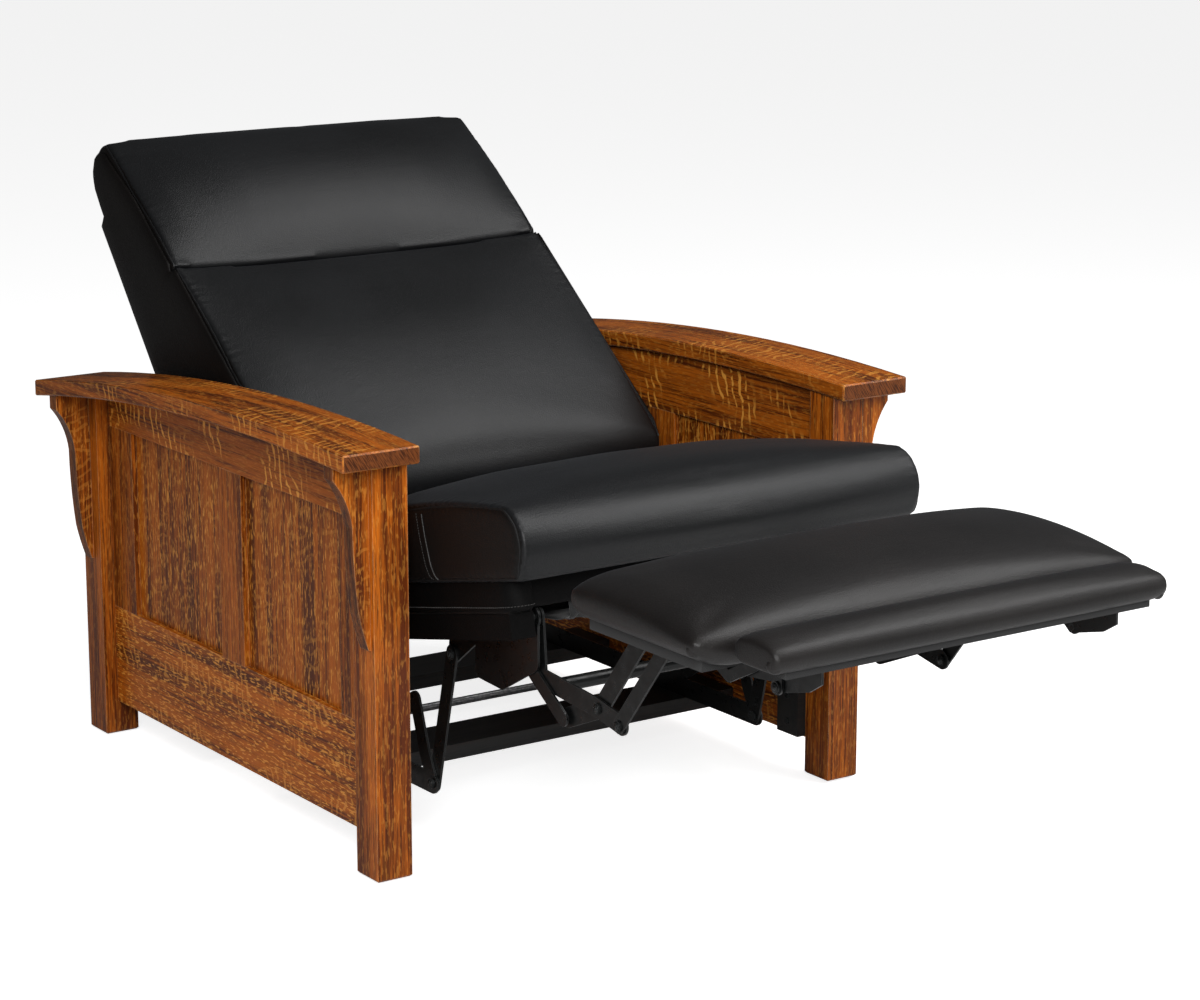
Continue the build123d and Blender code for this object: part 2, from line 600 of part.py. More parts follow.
def loop(corners, bulges):
    """Return a closed outline through corners, each side straight or bulging through a point."""
    sides = []
    for start, end, bulge in zip(corners, corners[1:] + corners[:1], bulges):
        sides.append(ThreePointArc(start, bulge, end) if bulge else Line(start, end))
    return make_face(sides)


def seat_section(full):
    """Return the seat cushion's section: flat below, a leaning nose and a crowned top."""
    nose, shoulder = -(SEAT_LENGTH - SEAT_NOSE), SEAT_EDGE_HEIGHT
    front, rear = (nose, shoulder), (-SEAT_REAR_ROLL, shoulder - SEAT_TOE * HALF)
    corners = [(0, 0), (-(SEAT_LENGTH - SEAT_TOE), 0), front, rear]
    belly = (-SEAT_LENGTH, SEAT_EDGE_HEIGHT * SEAT_BELLY_SHARE)
    crest = (-SEAT_LENGTH * HALF, shoulder + SEAT_TOE / 8 + SEAT_CROWN * full)
    return loop(corners, [None, belly, crest, (-LAYER_GAP, shoulder * HALF)])


def pad_section(length, full):
    """Return a function for the sections of a footrest pad that lies towards the front."""
    def section(drawn, low, rear, middle, front):
        inset, low_z = drawn * full, low * full
        rear_z, front_z = rear * full, front * full
        corners = [(-(inset + PAD_TOE), low_z), (-(length - inset - PAD_TOE), low_z),
                   (-(length - inset - PAD_NOSE), front_z), (-(inset + PAD_NOSE), rear_z)]
        bulges = [None, (-(length - inset), (low_z + front_z) / 2), (-length * HALF, middle * full),
                  (-inset, (low_z + rear_z) / 2)]
        return loop(corners, bulges)
    return section


def seat_cushion():
    """Return the boxed and crowned seat cushion with its rolled front."""
    return seat_place() * lofted(SEAT_WIDTH, CROWN_SHARES, seat_section)


def back_place():
    """Return the back frame's location."""
    return Pos(0, BACK_FOOT[0], BACK_FOOT[1]) * Rot(BACK_TILT, 0, 0)


def in_back(point):
    """Return where a side-view place lies in the back's own frame."""
    return turned((point[0] - BACK_FOOT[0], point[1] - BACK_FOOT[1]), -BACK_TILT)


def back():
    """Return the nodes of the back."""
    place = back_place()
    outer = BACK_PANEL_WIDTH / 2
    inner = outer - BACK_PANEL_THICKNESS
    front = -FACE_DEPTH
    side = make_face(Polyline((BACK_TOE_RISE, front), (BACK_HEIGHT, front),
                              (BACK_HEIGHT, -BACK_DEPTH_TOP), (BACK_FOOT_RISE, -BACK_DEPTH_FOOT),
                              (BACK_TOE_RISE, -BACK_TOE_DEPTH), close=True))
    top_rail = slab(-inner, inner, BACK_HEIGHT - BACK_RAIL_HEIGHT, BACK_HEIGHT,
                    -BACK_DEPTH_TOP, front)
    bottom_low = BACK_TOE_RISE + BACK_RAIL_HEIGHT * HALF
    stile_outer = layer(1)[1]
    stile_inner = stile_outer - BACK_STILE_THICKNESS
    bottom_rail = slab(-stile_inner, stile_inner, bottom_low, bottom_low + BACK_RAIL_HEIGHT,
                       front - BACK_RAIL_THICKNESS, front)
    stile = slab(stile_inner, stile_outer, bottom_low, BACK_HEIGHT - BACK_RAIL_HEIGHT,
                 front - BACK_STILE_WIDTH, front)
    pivot = in_back(BACK_PIVOT)
    bracket_line = front - SWING_LINK_WIDTH / 2 - LAYER_GAP * 2
    bracket_foot = (pivot[0], bracket_line)
    bracket_low, bracket_top = (BACK_FOOT_RISE * HALF, bracket_line), (BACK_BRACKET_REACH, bracket_line)
    outline = chain([pivot, bracket_foot, bracket_top], SWING_LINK_WIDTH)
    outline -= disc(pivot, PIN_RADIUS + RUNNING_CLEARANCE)
    bolts = []
    for spot in (bracket_low, bracket_top):
        outline -= disc(spot, PIN_RADIUS)
        bolts.append(screw(spot, layer(1)[0], layer(1)[1]))
    bracket = across(outline, layer(1)[1], layer(1)[0])
    foot_low, foot_high = (BACK_FOOT_RISE, -BACK_DEPTH_FOOT), (BACK_HEIGHT, -BACK_DEPTH_TOP)
    skin = OUTSIDE_BACK_THICKNESS
    rear_panel = make_face(Polyline(foot_low, foot_high, (foot_high[0], foot_high[1] - skin),
                                    (foot_low[0], foot_low[1] - skin), close=True))
    foot_panel = make_face(Polyline((BACK_TOE_RISE, -BACK_TOE_DEPTH), foot_low,
                                    (foot_low[0] - skin, foot_low[1] - skin * HALF),
                                    (BACK_TOE_RISE - skin, -BACK_TOE_DEPTH), close=True))
    return {"back_side_panels": place * both(across(side, inner, outer)),
            "back_top_rail": place * top_rail, "back_bottom_rail": place * bottom_rail,
            "back_stiles": place * both(stile),
            "back_brackets": place * both(Compound(children=[bracket, *bolts])),
            "outside_back": place * across(rear_panel, -outer, outer),
            "back_foot_panel": place * across(foot_panel, -outer, outer),
            "lumbar_cushion": place * lofted(BACK_CUSHION_WIDTH, CROWN_SHARES, lumbar_section),
            "head_pillow": place * lofted(BACK_CUSHION_WIDTH, CROWN_SHARES, head_section)}


def lumbar_section(full):
    """Return the lumbar cushion's section in the back's frame."""
    low, foot, rear = LUMBAR_FOOT_RISE, LUMBAR_FOOT_RISE + LUMBAR_FOOT, -FACE_DEPTH
    face, crease = rear + LUMBAR_EDGE, rear + LUMBAR_EDGE - CREASE_DEPTH * full
    corners = [(low + LUMBAR_FOOT * HALF, rear), (LUMBAR_LENGTH, rear), (LUMBAR_LENGTH, crease),
               (foot, face - LUMBAR_FOOT * HALF * HALF)]
    crest = (LUMBAR_LENGTH * HALF, face + LUMBAR_CROWN * full)
    return loop(corners, [None, None, crest, (low, -LUMBAR_FOOT_DROP)])


def head_section(full):
    """Return the head pillow's section, which rolls over the top of the back."""
    start, rear, rest = LUMBAR_LENGTH + LAYER_GAP, -FACE_DEPTH, BACK_HEIGHT + LAYER_GAP
    crease = rear + LUMBAR_EDGE - CREASE_DEPTH * full
    top = (HEAD_TOP[0] + HEAD_RISE * full, HEAD_TOP[1] + HEAD_RISE * HALF * full)
    corners = [(start, rear), (rest, rear), (rest, -HEAD_LIP_DEPTH), HEAD_TIP, top, (start, crease)]
    crest = ((start + top[0]) / 2, (top[1] + rear + LUMBAR_EDGE) / 2 + HEAD_CROWN * full + LAYER_GAP)
    brow = (HEAD_BROW[0] + HEAD_RISE * HALF * full, HEAD_BROW[1])
    return loop(corners, [None, None, HEAD_ROLL, brow, crest, None])


def footrest_links():
    """Return the links of the footrest linkage, each pair with the rivets that it carries."""
    lower = plate(chain([LOWER_PIVOT, BEND, CROSSING, KNEE], LINK_WIDTH), 2,
                  [running(LOWER_PIVOT), fixed(CROSSING), fixed(KNEE)])
    reach = layer(2)[1]
    tube = disc(TIE_TUBE, TIE_TUBE_RADIUS) - disc(TIE_TUBE, TIE_TUBE_RADIUS - TIE_TUBE_WALL)
    follower = plate(strap(FOLLOWER_PIVOT, TAIL, SLIM_LINK_WIDTH), 1,
                     [running(FOLLOWER_PIVOT), fixed(TAIL)])
    upper = plate(chain([TAIL, CROSSING, OTTOMAN_REAR_PIVOT], WIDE_LINK_WIDTH), 3,
                  [opened(TAIL), running(CROSSING), running(OTTOMAN_REAR_PIVOT)])
    front = plate(strap(KNEE, OTTOMAN_FRONT_PIVOT, SLIM_LINK_WIDTH), 1,
                  [running(KNEE), opened(OTTOMAN_FRONT_PIVOT), fixed(DRIVE_PIVOT, SLIM_PIN_RADIUS)])
    deepest = layer(2, OTTOMAN_PLATE_OUTER)[1]
    return {"ottoman_lower_links": both(Compound(children=[
                lower, pin(CROSSING, layer(2)[0], layer(3)[1]), pin(KNEE, layer(1)[0], reach)])),
            "ottoman_tie_tube": across(tube, -reach, reach),
            "lower_follower_links": both(Compound(children=[
                follower, pin(TAIL, layer(1)[0], layer(3)[1], outer_head=False)])),
            "ottoman_upper_links": both(upper),
            "upper_follower_links": both(Compound(children=[
                front, pin(DRIVE_PIVOT, layer(1)[0], deepest, False, True, SLIM_PIN_RADIUS)])),
            "flipper_links": both(flipper_link())}


def flipper_link():
    """Return the left flipper link, with a cross slot at its front end for the horn's pin."""
    length = hypot(DRIVE_PIVOT[0] - HORN_PIVOT[0], DRIVE_PIVOT[1] - HORN_PIVOT[1])
    rise = ((HORN_PIVOT[1] - DRIVE_PIVOT[1]) / length, (DRIVE_PIVOT[0] - HORN_PIVOT[0]) / length)
    slot_top = add(HORN_PIVOT, (rise[0] * FLIPPER_SLOT_TRAVEL, rise[1] * FLIPPER_SLOT_TRAVEL))
    outline = strap(DRIVE_PIVOT, HORN_PIVOT, FLIPPER_LINK_WIDTH)
    outline += strap(HORN_PIVOT, slot_top, FLIPPER_LINK_WIDTH)
    body = plate(outline, 2, [running(DRIVE_PIVOT, SLIM_PIN_RADIUS)], OTTOMAN_PLATE_OUTER)
    outer, inner = layer(2, OTTOMAN_PLATE_OUTER)
    slot = strap(HORN_PIVOT, slot_top, SLIM_PIN_RADIUS * 2 + SLOT_ROOM * 2)
    return body - across(slot, inner, outer)


def ottoman():
    """Return the nodes of the main footrest pad and its brackets."""
    top = OTTOMAN_UNDERSIDE
    board_rear = OTTOMAN_REAR - OTTOMAN_BOARD_END_INSET
    board_front = OTTOMAN_REAR - OTTOMAN_LENGTH + OTTOMAN_BOARD_END_INSET
    outer, inner = layer(0, OTTOMAN_PLATE_OUTER)
    mid_strip = top - BRACKET_STRIP / 2
    outline = Pos((board_rear + FLIPPER_HINGE[0]) / 2, mid_strip) * Rectangle(
        board_rear - FLIPPER_HINGE[0], BRACKET_STRIP)
    for point in (OTTOMAN_REAR_PIVOT, OTTOMAN_FRONT_PIVOT, FLIPPER_HINGE):
        outline += strap(point, (point[0], mid_strip - LAYER_GAP), HINGE_EAR) & (
            Pos(point[0], top - OTTOMAN_LENGTH / 2) * Rectangle(HINGE_EAR * 2, OTTOMAN_LENGTH))
    nose_rear, nose_front = OTTOMAN_FRONT_PIVOT[0] - HINGE_EAR * 2, FLIPPER_HINGE[0] + HINGE_EAR * 2
    nose = ((nose_rear + nose_front) / 2, top - NOSE_DROP)
    outline += chain([(nose_rear, mid_strip), nose, (nose_front, mid_strip)], BRACKET_STRIP)
    bracket = plate(outline, 0, [fixed(OTTOMAN_REAR_PIVOT), fixed(OTTOMAN_FRONT_PIVOT),
                                 fixed(FLIPPER_HINGE)], OTTOMAN_PLATE_OUTER)
    bracket += slab(outer, outer + OTTOMAN_FLANGE_WIDTH, board_front + PAD_TOE, board_rear,
                    top - STEEL, top)
    half_board = OTTOMAN_WIDTH / 2 - OTTOMAN_BOARD_SIDE_INSET
    board = slab(-half_board, half_board, board_front, board_rear, top, top + OTTOMAN_BOARD_THICKNESS)
    pad = lofted(OTTOMAN_WIDTH, OTTOMAN_SHARES, pad_section(OTTOMAN_LENGTH, OTTOMAN_FULL))
    pad = Pos(0, OTTOMAN_REAR, top + OTTOMAN_SKIRT) * pad - board
    rear_pin = pin(OTTOMAN_REAR_PIVOT, layer(3)[0], inner, outer_head=False)
    rear_pin += across(disc(OTTOMAN_REAR_PIVOT, SLEEVE_RADIUS), outer, layer(3)[1] - END_GAP)
    front_pin = pin(OTTOMAN_FRONT_PIVOT, layer(1)[0], inner, outer_head=False)
    front_pin += across(disc(OTTOMAN_FRONT_PIVOT, SLEEVE_RADIUS), outer, layer(1)[1] - END_GAP)
    pieces = [rear_pin, front_pin,
              pin(FLIPPER_HINGE, outer, layer(1, OTTOMAN_PLATE_OUTER)[1], inner_head=False)]
    for place in (board_rear - SLEEVE_RADIUS * 2, board_front + PAD_TOE + SLEEVE_RADIUS):
        spot = Pos(outer + OTTOMAN_FLANGE_WIDTH * HALF, place, top - STEEL - SCREW_HEAD_HEIGHT / 2)
        pieces.append(spot * Cylinder(SCREW_RADIUS, SCREW_HEAD_HEIGHT))
    return {"ottoman_brackets": both(bracket), "ottoman_board": board, "ottoman_pad": pad,
            "ottoman_fasteners": both(Compound(children=pieces))}


def flipper():
    """Return the nodes of the small folding pad at the front of the footrest."""
    top = FLIPPER_UNDERSIDE
    rear = OTTOMAN_REAR - OTTOMAN_LENGTH - FLIPPER_GAP
    board_rear = rear - FLIPPER_BOARD_END_INSET
    board_front = rear - FLIPPER_LENGTH + FLIPPER_BOARD_END_INSET
    mid_strip = top - BRACKET_STRIP / 2
    outline = make_hull((disc(FLIPPER_HINGE, BRACKET_STRIP / 2)
                         + disc(FLIPPER_BRACKET_CORNER, BRACKET_STRIP / 2)
                         + Pos((board_rear + board_front) / 2, mid_strip) * Rectangle(
                             board_rear - board_front, BRACKET_STRIP)).edges())
    outline += strap(HORN_PIVOT, FLIPPER_HINGE, BRACKET_STRIP)
    bracket = plate(outline, 1, [running(FLIPPER_HINGE), fixed(HORN_PIVOT, SLIM_PIN_RADIUS)],
                    OTTOMAN_PLATE_OUTER)
    half_board = FLIPPER_WIDTH / 2 - FLIPPER_BOARD_SIDE_INSET
    board = slab(-half_board, half_board, board_front, board_rear, top, top + FLIPPER_BOARD_THICKNESS)
    pad = lofted(FLIPPER_WIDTH, FLIPPER_SHARES, pad_section(FLIPPER_LENGTH, FLIPPER_FULL))
    pad = Pos(0, rear, top + FLIPPER_SKIRT) * pad - board
    horn_pin = pin(HORN_PIVOT, layer(1, OTTOMAN_PLATE_OUTER)[0], layer(2, OTTOMAN_PLATE_OUTER)[1],
                   False, True, SLIM_PIN_RADIUS)
    return {"flipper_brackets": both(Compound(children=[bracket, horn_pin])),
            "flipper_board": board, "flipper_pad": pad}


def build():
    """Return every node of the chair by name, in the frame of the front legs."""
    nodes = {}
    for name, solid in side_frame().items():
        nodes["left_" + name] = solid
        nodes["right_" + name] = mirror(solid, Plane.YZ)
    nodes["leg_glides"] = glides()
    nodes["front_base_rail"] = base_rail(FRONT_BASE_RAIL_BACK)
    nodes["rear_base_rail"] = base_rail(REAR_BASE_RAIL_BACK)
    for name, solid in (("base_plate", base_plate()), ("seat_plate", seat_plate())):
        nodes["left_" + name] = solid
        nodes["right_" + name] = mirror(solid, Plane.YZ)
    nodes["front_blocks"] = front_blocks()
    nodes["base_fasteners"] = base_fasteners()
    nodes["rear_cross_rod"] = rear_cross_rod()
    nodes["front_swing_links"] = swing_links(BASE_PIVOT, SEAT_PIVOT, running(BASE_PIVOT))
    rod_hole = (REAR_BASE_PIVOT, REAR_ROD_RADIUS + RUNNING_CLEARANCE)
    nodes["rear_swing_links"] = swing_links(REAR_BASE_PIVOT, REAR_SEAT_PIVOT, rod_hole)
    nodes["seat_fasteners"] = seat_fasteners()
    nodes.update(seat_box())
    nodes["seat_cushion"] = seat_cushion()
    nodes.update(back())
    nodes.update(footrest_links())
    nodes.update(ottoman())
    nodes.update(flipper())
    return nodes


os.makedirs("parts", exist_ok=True)
for node_name, node in build().items():
    export_step(Pos(0, -ORIGIN_BEHIND_FRONT, 0) * node, "parts/" + node_name + ".step")
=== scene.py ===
"""A wall hugger recliner: bowed oak arms, panelled sides, black leather and a steel linkage."""

import logging
import math
from dataclasses import dataclass, field
from enum import Enum
from typing import Callable, Sequence

import bmesh
import bpy
import numpy as np
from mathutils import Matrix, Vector
from mathutils.bvhtree import BVHTree
from mathutils.kdtree import KDTree


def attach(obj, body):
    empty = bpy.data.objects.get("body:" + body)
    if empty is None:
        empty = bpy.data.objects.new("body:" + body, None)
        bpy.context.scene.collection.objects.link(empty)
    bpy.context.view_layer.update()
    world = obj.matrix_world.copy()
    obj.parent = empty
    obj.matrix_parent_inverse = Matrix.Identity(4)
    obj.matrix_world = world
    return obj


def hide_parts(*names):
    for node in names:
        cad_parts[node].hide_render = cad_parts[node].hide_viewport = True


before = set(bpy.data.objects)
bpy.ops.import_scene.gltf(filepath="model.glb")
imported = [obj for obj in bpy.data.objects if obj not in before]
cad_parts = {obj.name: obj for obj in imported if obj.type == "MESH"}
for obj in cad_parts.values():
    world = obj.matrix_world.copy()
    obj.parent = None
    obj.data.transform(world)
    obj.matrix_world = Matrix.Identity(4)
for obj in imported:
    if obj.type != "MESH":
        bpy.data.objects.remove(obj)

LOG = logging.getLogger("recliner")
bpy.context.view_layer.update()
MM = 0.001
ORIGIN_BEHIND_FRONT = 112.0
SIDES = ((-1, "right"), (1, "left"))
Point = tuple[float, float]
Color = tuple[float, float, float, float]


def tinted(red: float, green: float, blue: float) -> Color:
    """Return an opaque colour."""
    return (red, green, blue, 1.0)


def toned(color: Color, share: float) -> Color:
    """Return a colour made lighter or darker, up to full white."""
    return tinted(*(min(channel * share, 1.0) for channel in color[:3]))


class Grain(Enum):
    """The way a board's grain runs, as the turn that brings it upright."""

    UPRIGHT = (0.0, 0.0, 0.0)
    LENGTHWISE = (math.pi / 2, 0.0, 0.0)
    CROSSWISE = (0.0, math.pi / 2, 0.0)


class Graph:
    """Adds nodes to one tree and links them."""

    def __init__(self, tree: bpy.types.NodeTree) -> None:
        """Keep the tree that the nodes go into."""
        self.tree = tree

    def add(self, kind: str, feeds: dict | None = None, **options) -> bpy.types.Node:
        """Add one node.

        Args:
            kind: The node's type name.
            feeds: Values or sockets by the input's name or number.
            **options: The node's own settings.

        Returns:
            The new node.
        """
        node = self.tree.nodes.new(kind)
        for name, value in options.items():
            setattr(node, name, value)
        for key, value in (feeds or {}).items():
            self.feed(node.inputs[key], value)
        return node

    def feed(self, socket: bpy.types.NodeSocket, value) -> None:
        """Link a socket to another one, or set its value."""
        if isinstance(value, bpy.types.NodeSocket):
            self.tree.links.new(value, socket)
        else:
            socket.default_value = value

    def math(self, operation: str, first, second=0.0, clamp: bool = False) -> bpy.types.NodeSocket:
        """Return the result of one sum on two numbers."""
        return self.add("ShaderNodeMath", {0: first, 1: second}, operation=operation,
                        use_clamp=clamp).outputs[0]

    def vector(self, operation: str, first, second=(0.0, 0.0, 0.0)) -> bpy.types.NodeSocket:
        """Return the vector that comes of one sum on two vectors."""
        return self.add("ShaderNodeVectorMath", {0: first, 1: second},
                        operation=operation).outputs[0]

    def placed(self, vector, scale=(1.0, 1.0, 1.0), turn=(0.0, 0.0, 0.0), shift=(0.0, 0.0, 0.0)):
        """Return a vector that is turned, scaled and moved."""
        return self.add("ShaderNodeMapping", {"Vector": vector, "Location": shift, "Rotation": turn,
                                              "Scale": scale}).outputs[0]

    def noise(self, vector, scale=1.0, detail=2.0, roughness=0.5, distortion=0.0):
        """Return a noise value from 0 to 1."""
        return self.add("ShaderNodeTexNoise", {"Vector": vector, "Scale": scale, "Detail": detail,
                                               "Roughness": roughness,
                                               "Distortion": distortion}).outputs["Fac"]

    def ease(self, value, low: float, high: float, to_low: float = 0.0, to_high: float = 1.0):
        """Return a value eased from one range into another."""
        return self.add("ShaderNodeMapRange", {"Value": value, "From Min": low, "From Max": high,
                                               "To Min": to_low, "To Max": to_high},
                        interpolation_type="SMOOTHSTEP").outputs[0]

    def mix(self, factor, first, second):
        """Return two colours mixed."""
        return self.add("ShaderNodeMix", {0: factor, 6: first, 7: second},
                        data_type="RGBA").outputs[2]

    def product(self, *factors) -> bpy.types.NodeSocket:
        """Return numbers multiplied with each other."""
        result = factors[0]
        for factor in factors[1:]:
            result = self.math("MULTIPLY", result, factor)
        return result


def effect(name: str, inputs: dict[str, tuple[str, object]], outputs: dict[str, str]):
    """Start a shader node group.

    Args:
        name: The group's name.
        inputs: Socket kind and default value by name.
        outputs: Socket kind by name.

    Returns:
        The graph, the group's input node and its output node.
    """
    tree = bpy.data.node_groups.new(name, "ShaderNodeTree")
    for label, (kind, value) in inputs.items():
        socket = tree.interface.new_socket(name=label, in_out="INPUT",
                                           socket_type="NodeSocket" + kind)
        if value is not None:
            socket.default_value = value
    for label, kind in outputs.items():
        tree.interface.new_socket(name=label, in_out="OUTPUT", socket_type="NodeSocket" + kind)
    return Graph(tree), tree.nodes.new("NodeGroupInput"), tree.nodes.new("NodeGroupOutput")


class Effects:
    """The shader node groups that several finishes share."""

    def __init__(self) -> None:
        """Build each group once."""
        self.wood_grain = self.quarter_sawn_grain()
        self.edge_wear = self.worn_edges()
        self.hide = self.hide_grain()
        self.dust = self.settled_dust()

    def quarter_sawn_grain(self) -> bpy.types.NodeTree:
        """Return oak figure, with Z along the grain: bands, pores and ray flecks."""
        graph, given, out = effect(
            "quarter_sawn_grain",
            {"Vector": ("Vector", None), "Dark": ("Color", tinted(0.1, 0.03, 0.01)),
             "Light": ("Color", tinted(0.4, 0.15, 0.04)),
             "Fleck Color": ("Color", tinted(0.6, 0.3, 0.1)),
             "Pores": ("Float", 1.0), "Fleck": ("Float", 0.5), "Mottle": ("Float", 0.5)},
            {"Color": "Color", "Roughness": "Float", "Height": "Float"})
        vector = given.outputs["Vector"]
        sway = graph.noise(graph.placed(vector, (9, 9, 3)), detail=1.0)
        swayed = graph.vector("ADD", vector, graph.add("ShaderNodeCombineXYZ", {
            0: graph.math("MULTIPLY", sway, 0.012),
            1: graph.math("MULTIPLY", sway, 0.009)}).outputs[0])
        bands = graph.noise(graph.placed(swayed, (46, 46, 1.8)), detail=3.0, roughness=0.6)
        rings = graph.noise(graph.placed(swayed, (290, 290, 5)), detail=4.0, roughness=0.74)
        pores = graph.noise(graph.placed(swayed, (600, 600, 17)), detail=2.0, roughness=0.6)
        tone = graph.ease(graph.math("ADD", graph.math("MULTIPLY", bands, 0.42),
                                     graph.math("MULTIPLY", rings, 0.58)), 0.43, 0.56)
        color = graph.mix(tone, given.outputs["Dark"], given.outputs["Light"])
        line = graph.math("MULTIPLY", graph.ease(rings, 0.52, 0.62), graph.ease(pores, 0.36, 0.52))
        dash = graph.ease(pores, 0.58, 0.68)
        dark = graph.math("MULTIPLY", graph.math("ADD", graph.math("MULTIPLY", line, 0.86),
                                                 graph.math("MULTIPLY", dash, 0.7), True),
                          given.outputs["Pores"], True)
        color = graph.mix(dark, color, graph.mix(0.74, color, tinted(0.022, 0.006, 0.002)))
        wave_place = graph.placed(vector, turn=(0.24, 0.36, 0.0))
        wave = graph.add("ShaderNodeTexWave",
                         {"Vector": wave_place, "Scale": 21.0, "Distortion": 9.0,
                          "Detail": 2.0, "Detail Scale": 0.9, "Detail Roughness": 0.55},
                         wave_type="BANDS", bands_direction="Z").outputs["Fac"]
        patch = graph.ease(graph.noise(graph.placed(vector, (16, 16, 9)), detail=1.0), 0.47, 0.6)
        specks = graph.noise(graph.placed(vector, (150, 150, 90)), detail=1.0)
        broken = graph.ease(specks, 0.32, 0.5)
        fleck = graph.product(graph.ease(wave, 0.76, 0.9), patch, broken)
        fleck = graph.math("MULTIPLY", fleck, given.outputs["Fleck"], True)
        dabs = graph.noise(graph.placed(vector, (380, 380, 80), (0.16, 0.1, 0.0)), detail=2.0)
        mottle = graph.math("MULTIPLY", graph.ease(dabs, 0.54, 0.64), given.outputs["Mottle"], True)
        light = graph.math("MAXIMUM", fleck, graph.math("MULTIPLY", mottle, 0.74))
        color = graph.mix(light, color, given.outputs["Fleck Color"])
        graph.feed(out.inputs["Color"], color)
        rough = graph.math("ADD", graph.math("MULTIPLY", dark, 0.16),
                           graph.math("MULTIPLY", light, -0.07))
        graph.feed(out.inputs["Roughness"], graph.math("ADD", rough, 0.4))
        graph.feed(out.inputs["Height"], graph.math("SUBTRACT", graph.math("MULTIPLY", light, 0.15),
                                                    dark))
        return graph.tree

    def worn_edges(self) -> bpy.types.NodeTree:
        """Return a mask that is 1 on the sharp edges of a piece, broken up a little."""
        graph, given, out = effect("edge_wear", {"Width": ("Float", 0.002)}, {"Mask": "Float"})
        rounded = graph.add("ShaderNodeBevel", {"Radius": given.outputs["Width"]}, samples=4)
        sharp = graph.add("ShaderNodeNewGeometry").outputs["Normal"]
        facing = graph.add("ShaderNodeVectorMath", {0: rounded.outputs[0], 1: sharp},
                           operation="DOT_PRODUCT").outputs["Value"]
        edge = graph.ease(graph.math("SUBTRACT", 1.0, facing), 0.03, 0.22)
        place = graph.add("ShaderNodeTexCoord").outputs["Object"]
        specks = graph.noise(graph.placed(place, (90, 90, 90)), detail=3.0)
        broken = graph.ease(specks, 0.3, 0.62, 0.35, 1)
        graph.feed(out.inputs["Mask"], graph.math("MULTIPLY", edge, broken, True))
        return graph.tree

    def hide_grain(self) -> bpy.types.NodeTree:
        """Return the pebbled grain of leather: height, a tone and a change of roughness."""
        graph, given, out = effect("hide_grain",
                                   {"Vector": ("Vector", None), "Cell": ("Float", 620.0),
                                    "Creases": ("Float", 0.3)},
                                   {"Height": "Float", "Tone": "Float", "Roughness": "Float"})
        vector = given.outputs["Vector"]
        bent = graph.vector("ADD", vector, graph.vector("MULTIPLY", graph.add(
            "ShaderNodeTexNoise", {"Vector": vector, "Scale": 240.0}).outputs["Color"],
            (0.0014, 0.0014, 0.0014)))
        cells = graph.add("ShaderNodeTexVoronoi", {"Vector": bent, "Scale": given.outputs["Cell"]},
                          feature="SMOOTH_F1").outputs["Distance"]
        pebble = graph.ease(cells, 0.1, 0.62, 1.0, 0.0)
        fine = graph.noise(graph.placed(vector, (900, 900, 900)), detail=2.0)
        crease = graph.noise(graph.placed(vector, (34, 62, 40)), detail=4.0, roughness=0.6,
                             distortion=0.8)
        folds = graph.math("MULTIPLY", graph.ease(crease, 0.42, 0.6), given.outputs["Creases"])
        height = graph.math("ADD", graph.math("MULTIPLY", pebble, 0.5),
                            graph.math("MULTIPLY", fine, 0.22))
        graph.feed(out.inputs["Height"], graph.math("ADD", height, folds))
        broad = graph.noise(graph.placed(vector, (5, 6, 5)), detail=3.0)
        graph.feed(out.inputs["Tone"], graph.ease(broad, 0.35, 0.65))
        rough = graph.math("ADD", graph.math("MULTIPLY", broad, 0.12),
                           graph.math("MULTIPLY", pebble, -0.05))
        graph.feed(out.inputs["Roughness"], rough)
        return graph.tree

    def settled_dust(self) -> bpy.types.NodeTree:
        """Return a soft mask of dust that lies on what faces up."""
        graph, given, out = effect("settled_dust",
                                   {"Vector": ("Vector", None), "Amount": ("Float", 0.3)},
                                   {"Mask": "Float"})
        normal = graph.add("ShaderNodeNewGeometry").outputs["Normal"]
        upward = graph.ease(graph.add("ShaderNodeSeparateXYZ", {0: normal}).outputs["Z"], 0.2, 0.95)
        cloud = graph.ease(graph.noise(given.outputs["Vector"], 55.0, 4.0, 0.6), 0.38, 0.7)
        graph.feed(out.inputs["Mask"], graph.product(upward, cloud, given.outputs["Amount"]))
        return graph.tree


class Finish:
    """One material with its Principled shader, built by the finishes below."""

    def __init__(self, name: str, effects: Effects) -> None:
        """Make an empty material with a Principled shader and Object coordinates."""
        self.effects = effects
        self.material = bpy.data.materials.new(name)
        self.material.use_nodes = True
        self.graph = Graph(self.material.node_tree)
        self.shader = self.material.node_tree.nodes["Principled BSDF"]
        self.place = self.graph.add("ShaderNodeTexCoord").outputs["Object"]

    def group(self, tree: bpy.types.NodeTree, feeds: dict) -> bpy.types.Node:
        """Add one of the shared groups with its own values."""
        node = self.graph.add("ShaderNodeGroup", node_tree=tree)
        for name, value in feeds.items():
            self.graph.feed(node.inputs[name], value)
        return node

    def shade(self, **sockets) -> None:
        """Set or link the shader's sockets, with spaces for underlines."""
        for name, value in sockets.items():
            label = name.replace("_", " ").title().replace("Ior", "IOR")
            self.graph.feed(self.shader.inputs[label], value)

    def bump(self, height, strength: float, depth: float) -> None:
        """Feed a height into the shader's normal."""
        node = self.graph.add("ShaderNodeBump",
                              {"Height": height, "Strength": strength, "Distance": depth})
        self.graph.feed(self.shader.inputs["Normal"], node.outputs["Normal"])


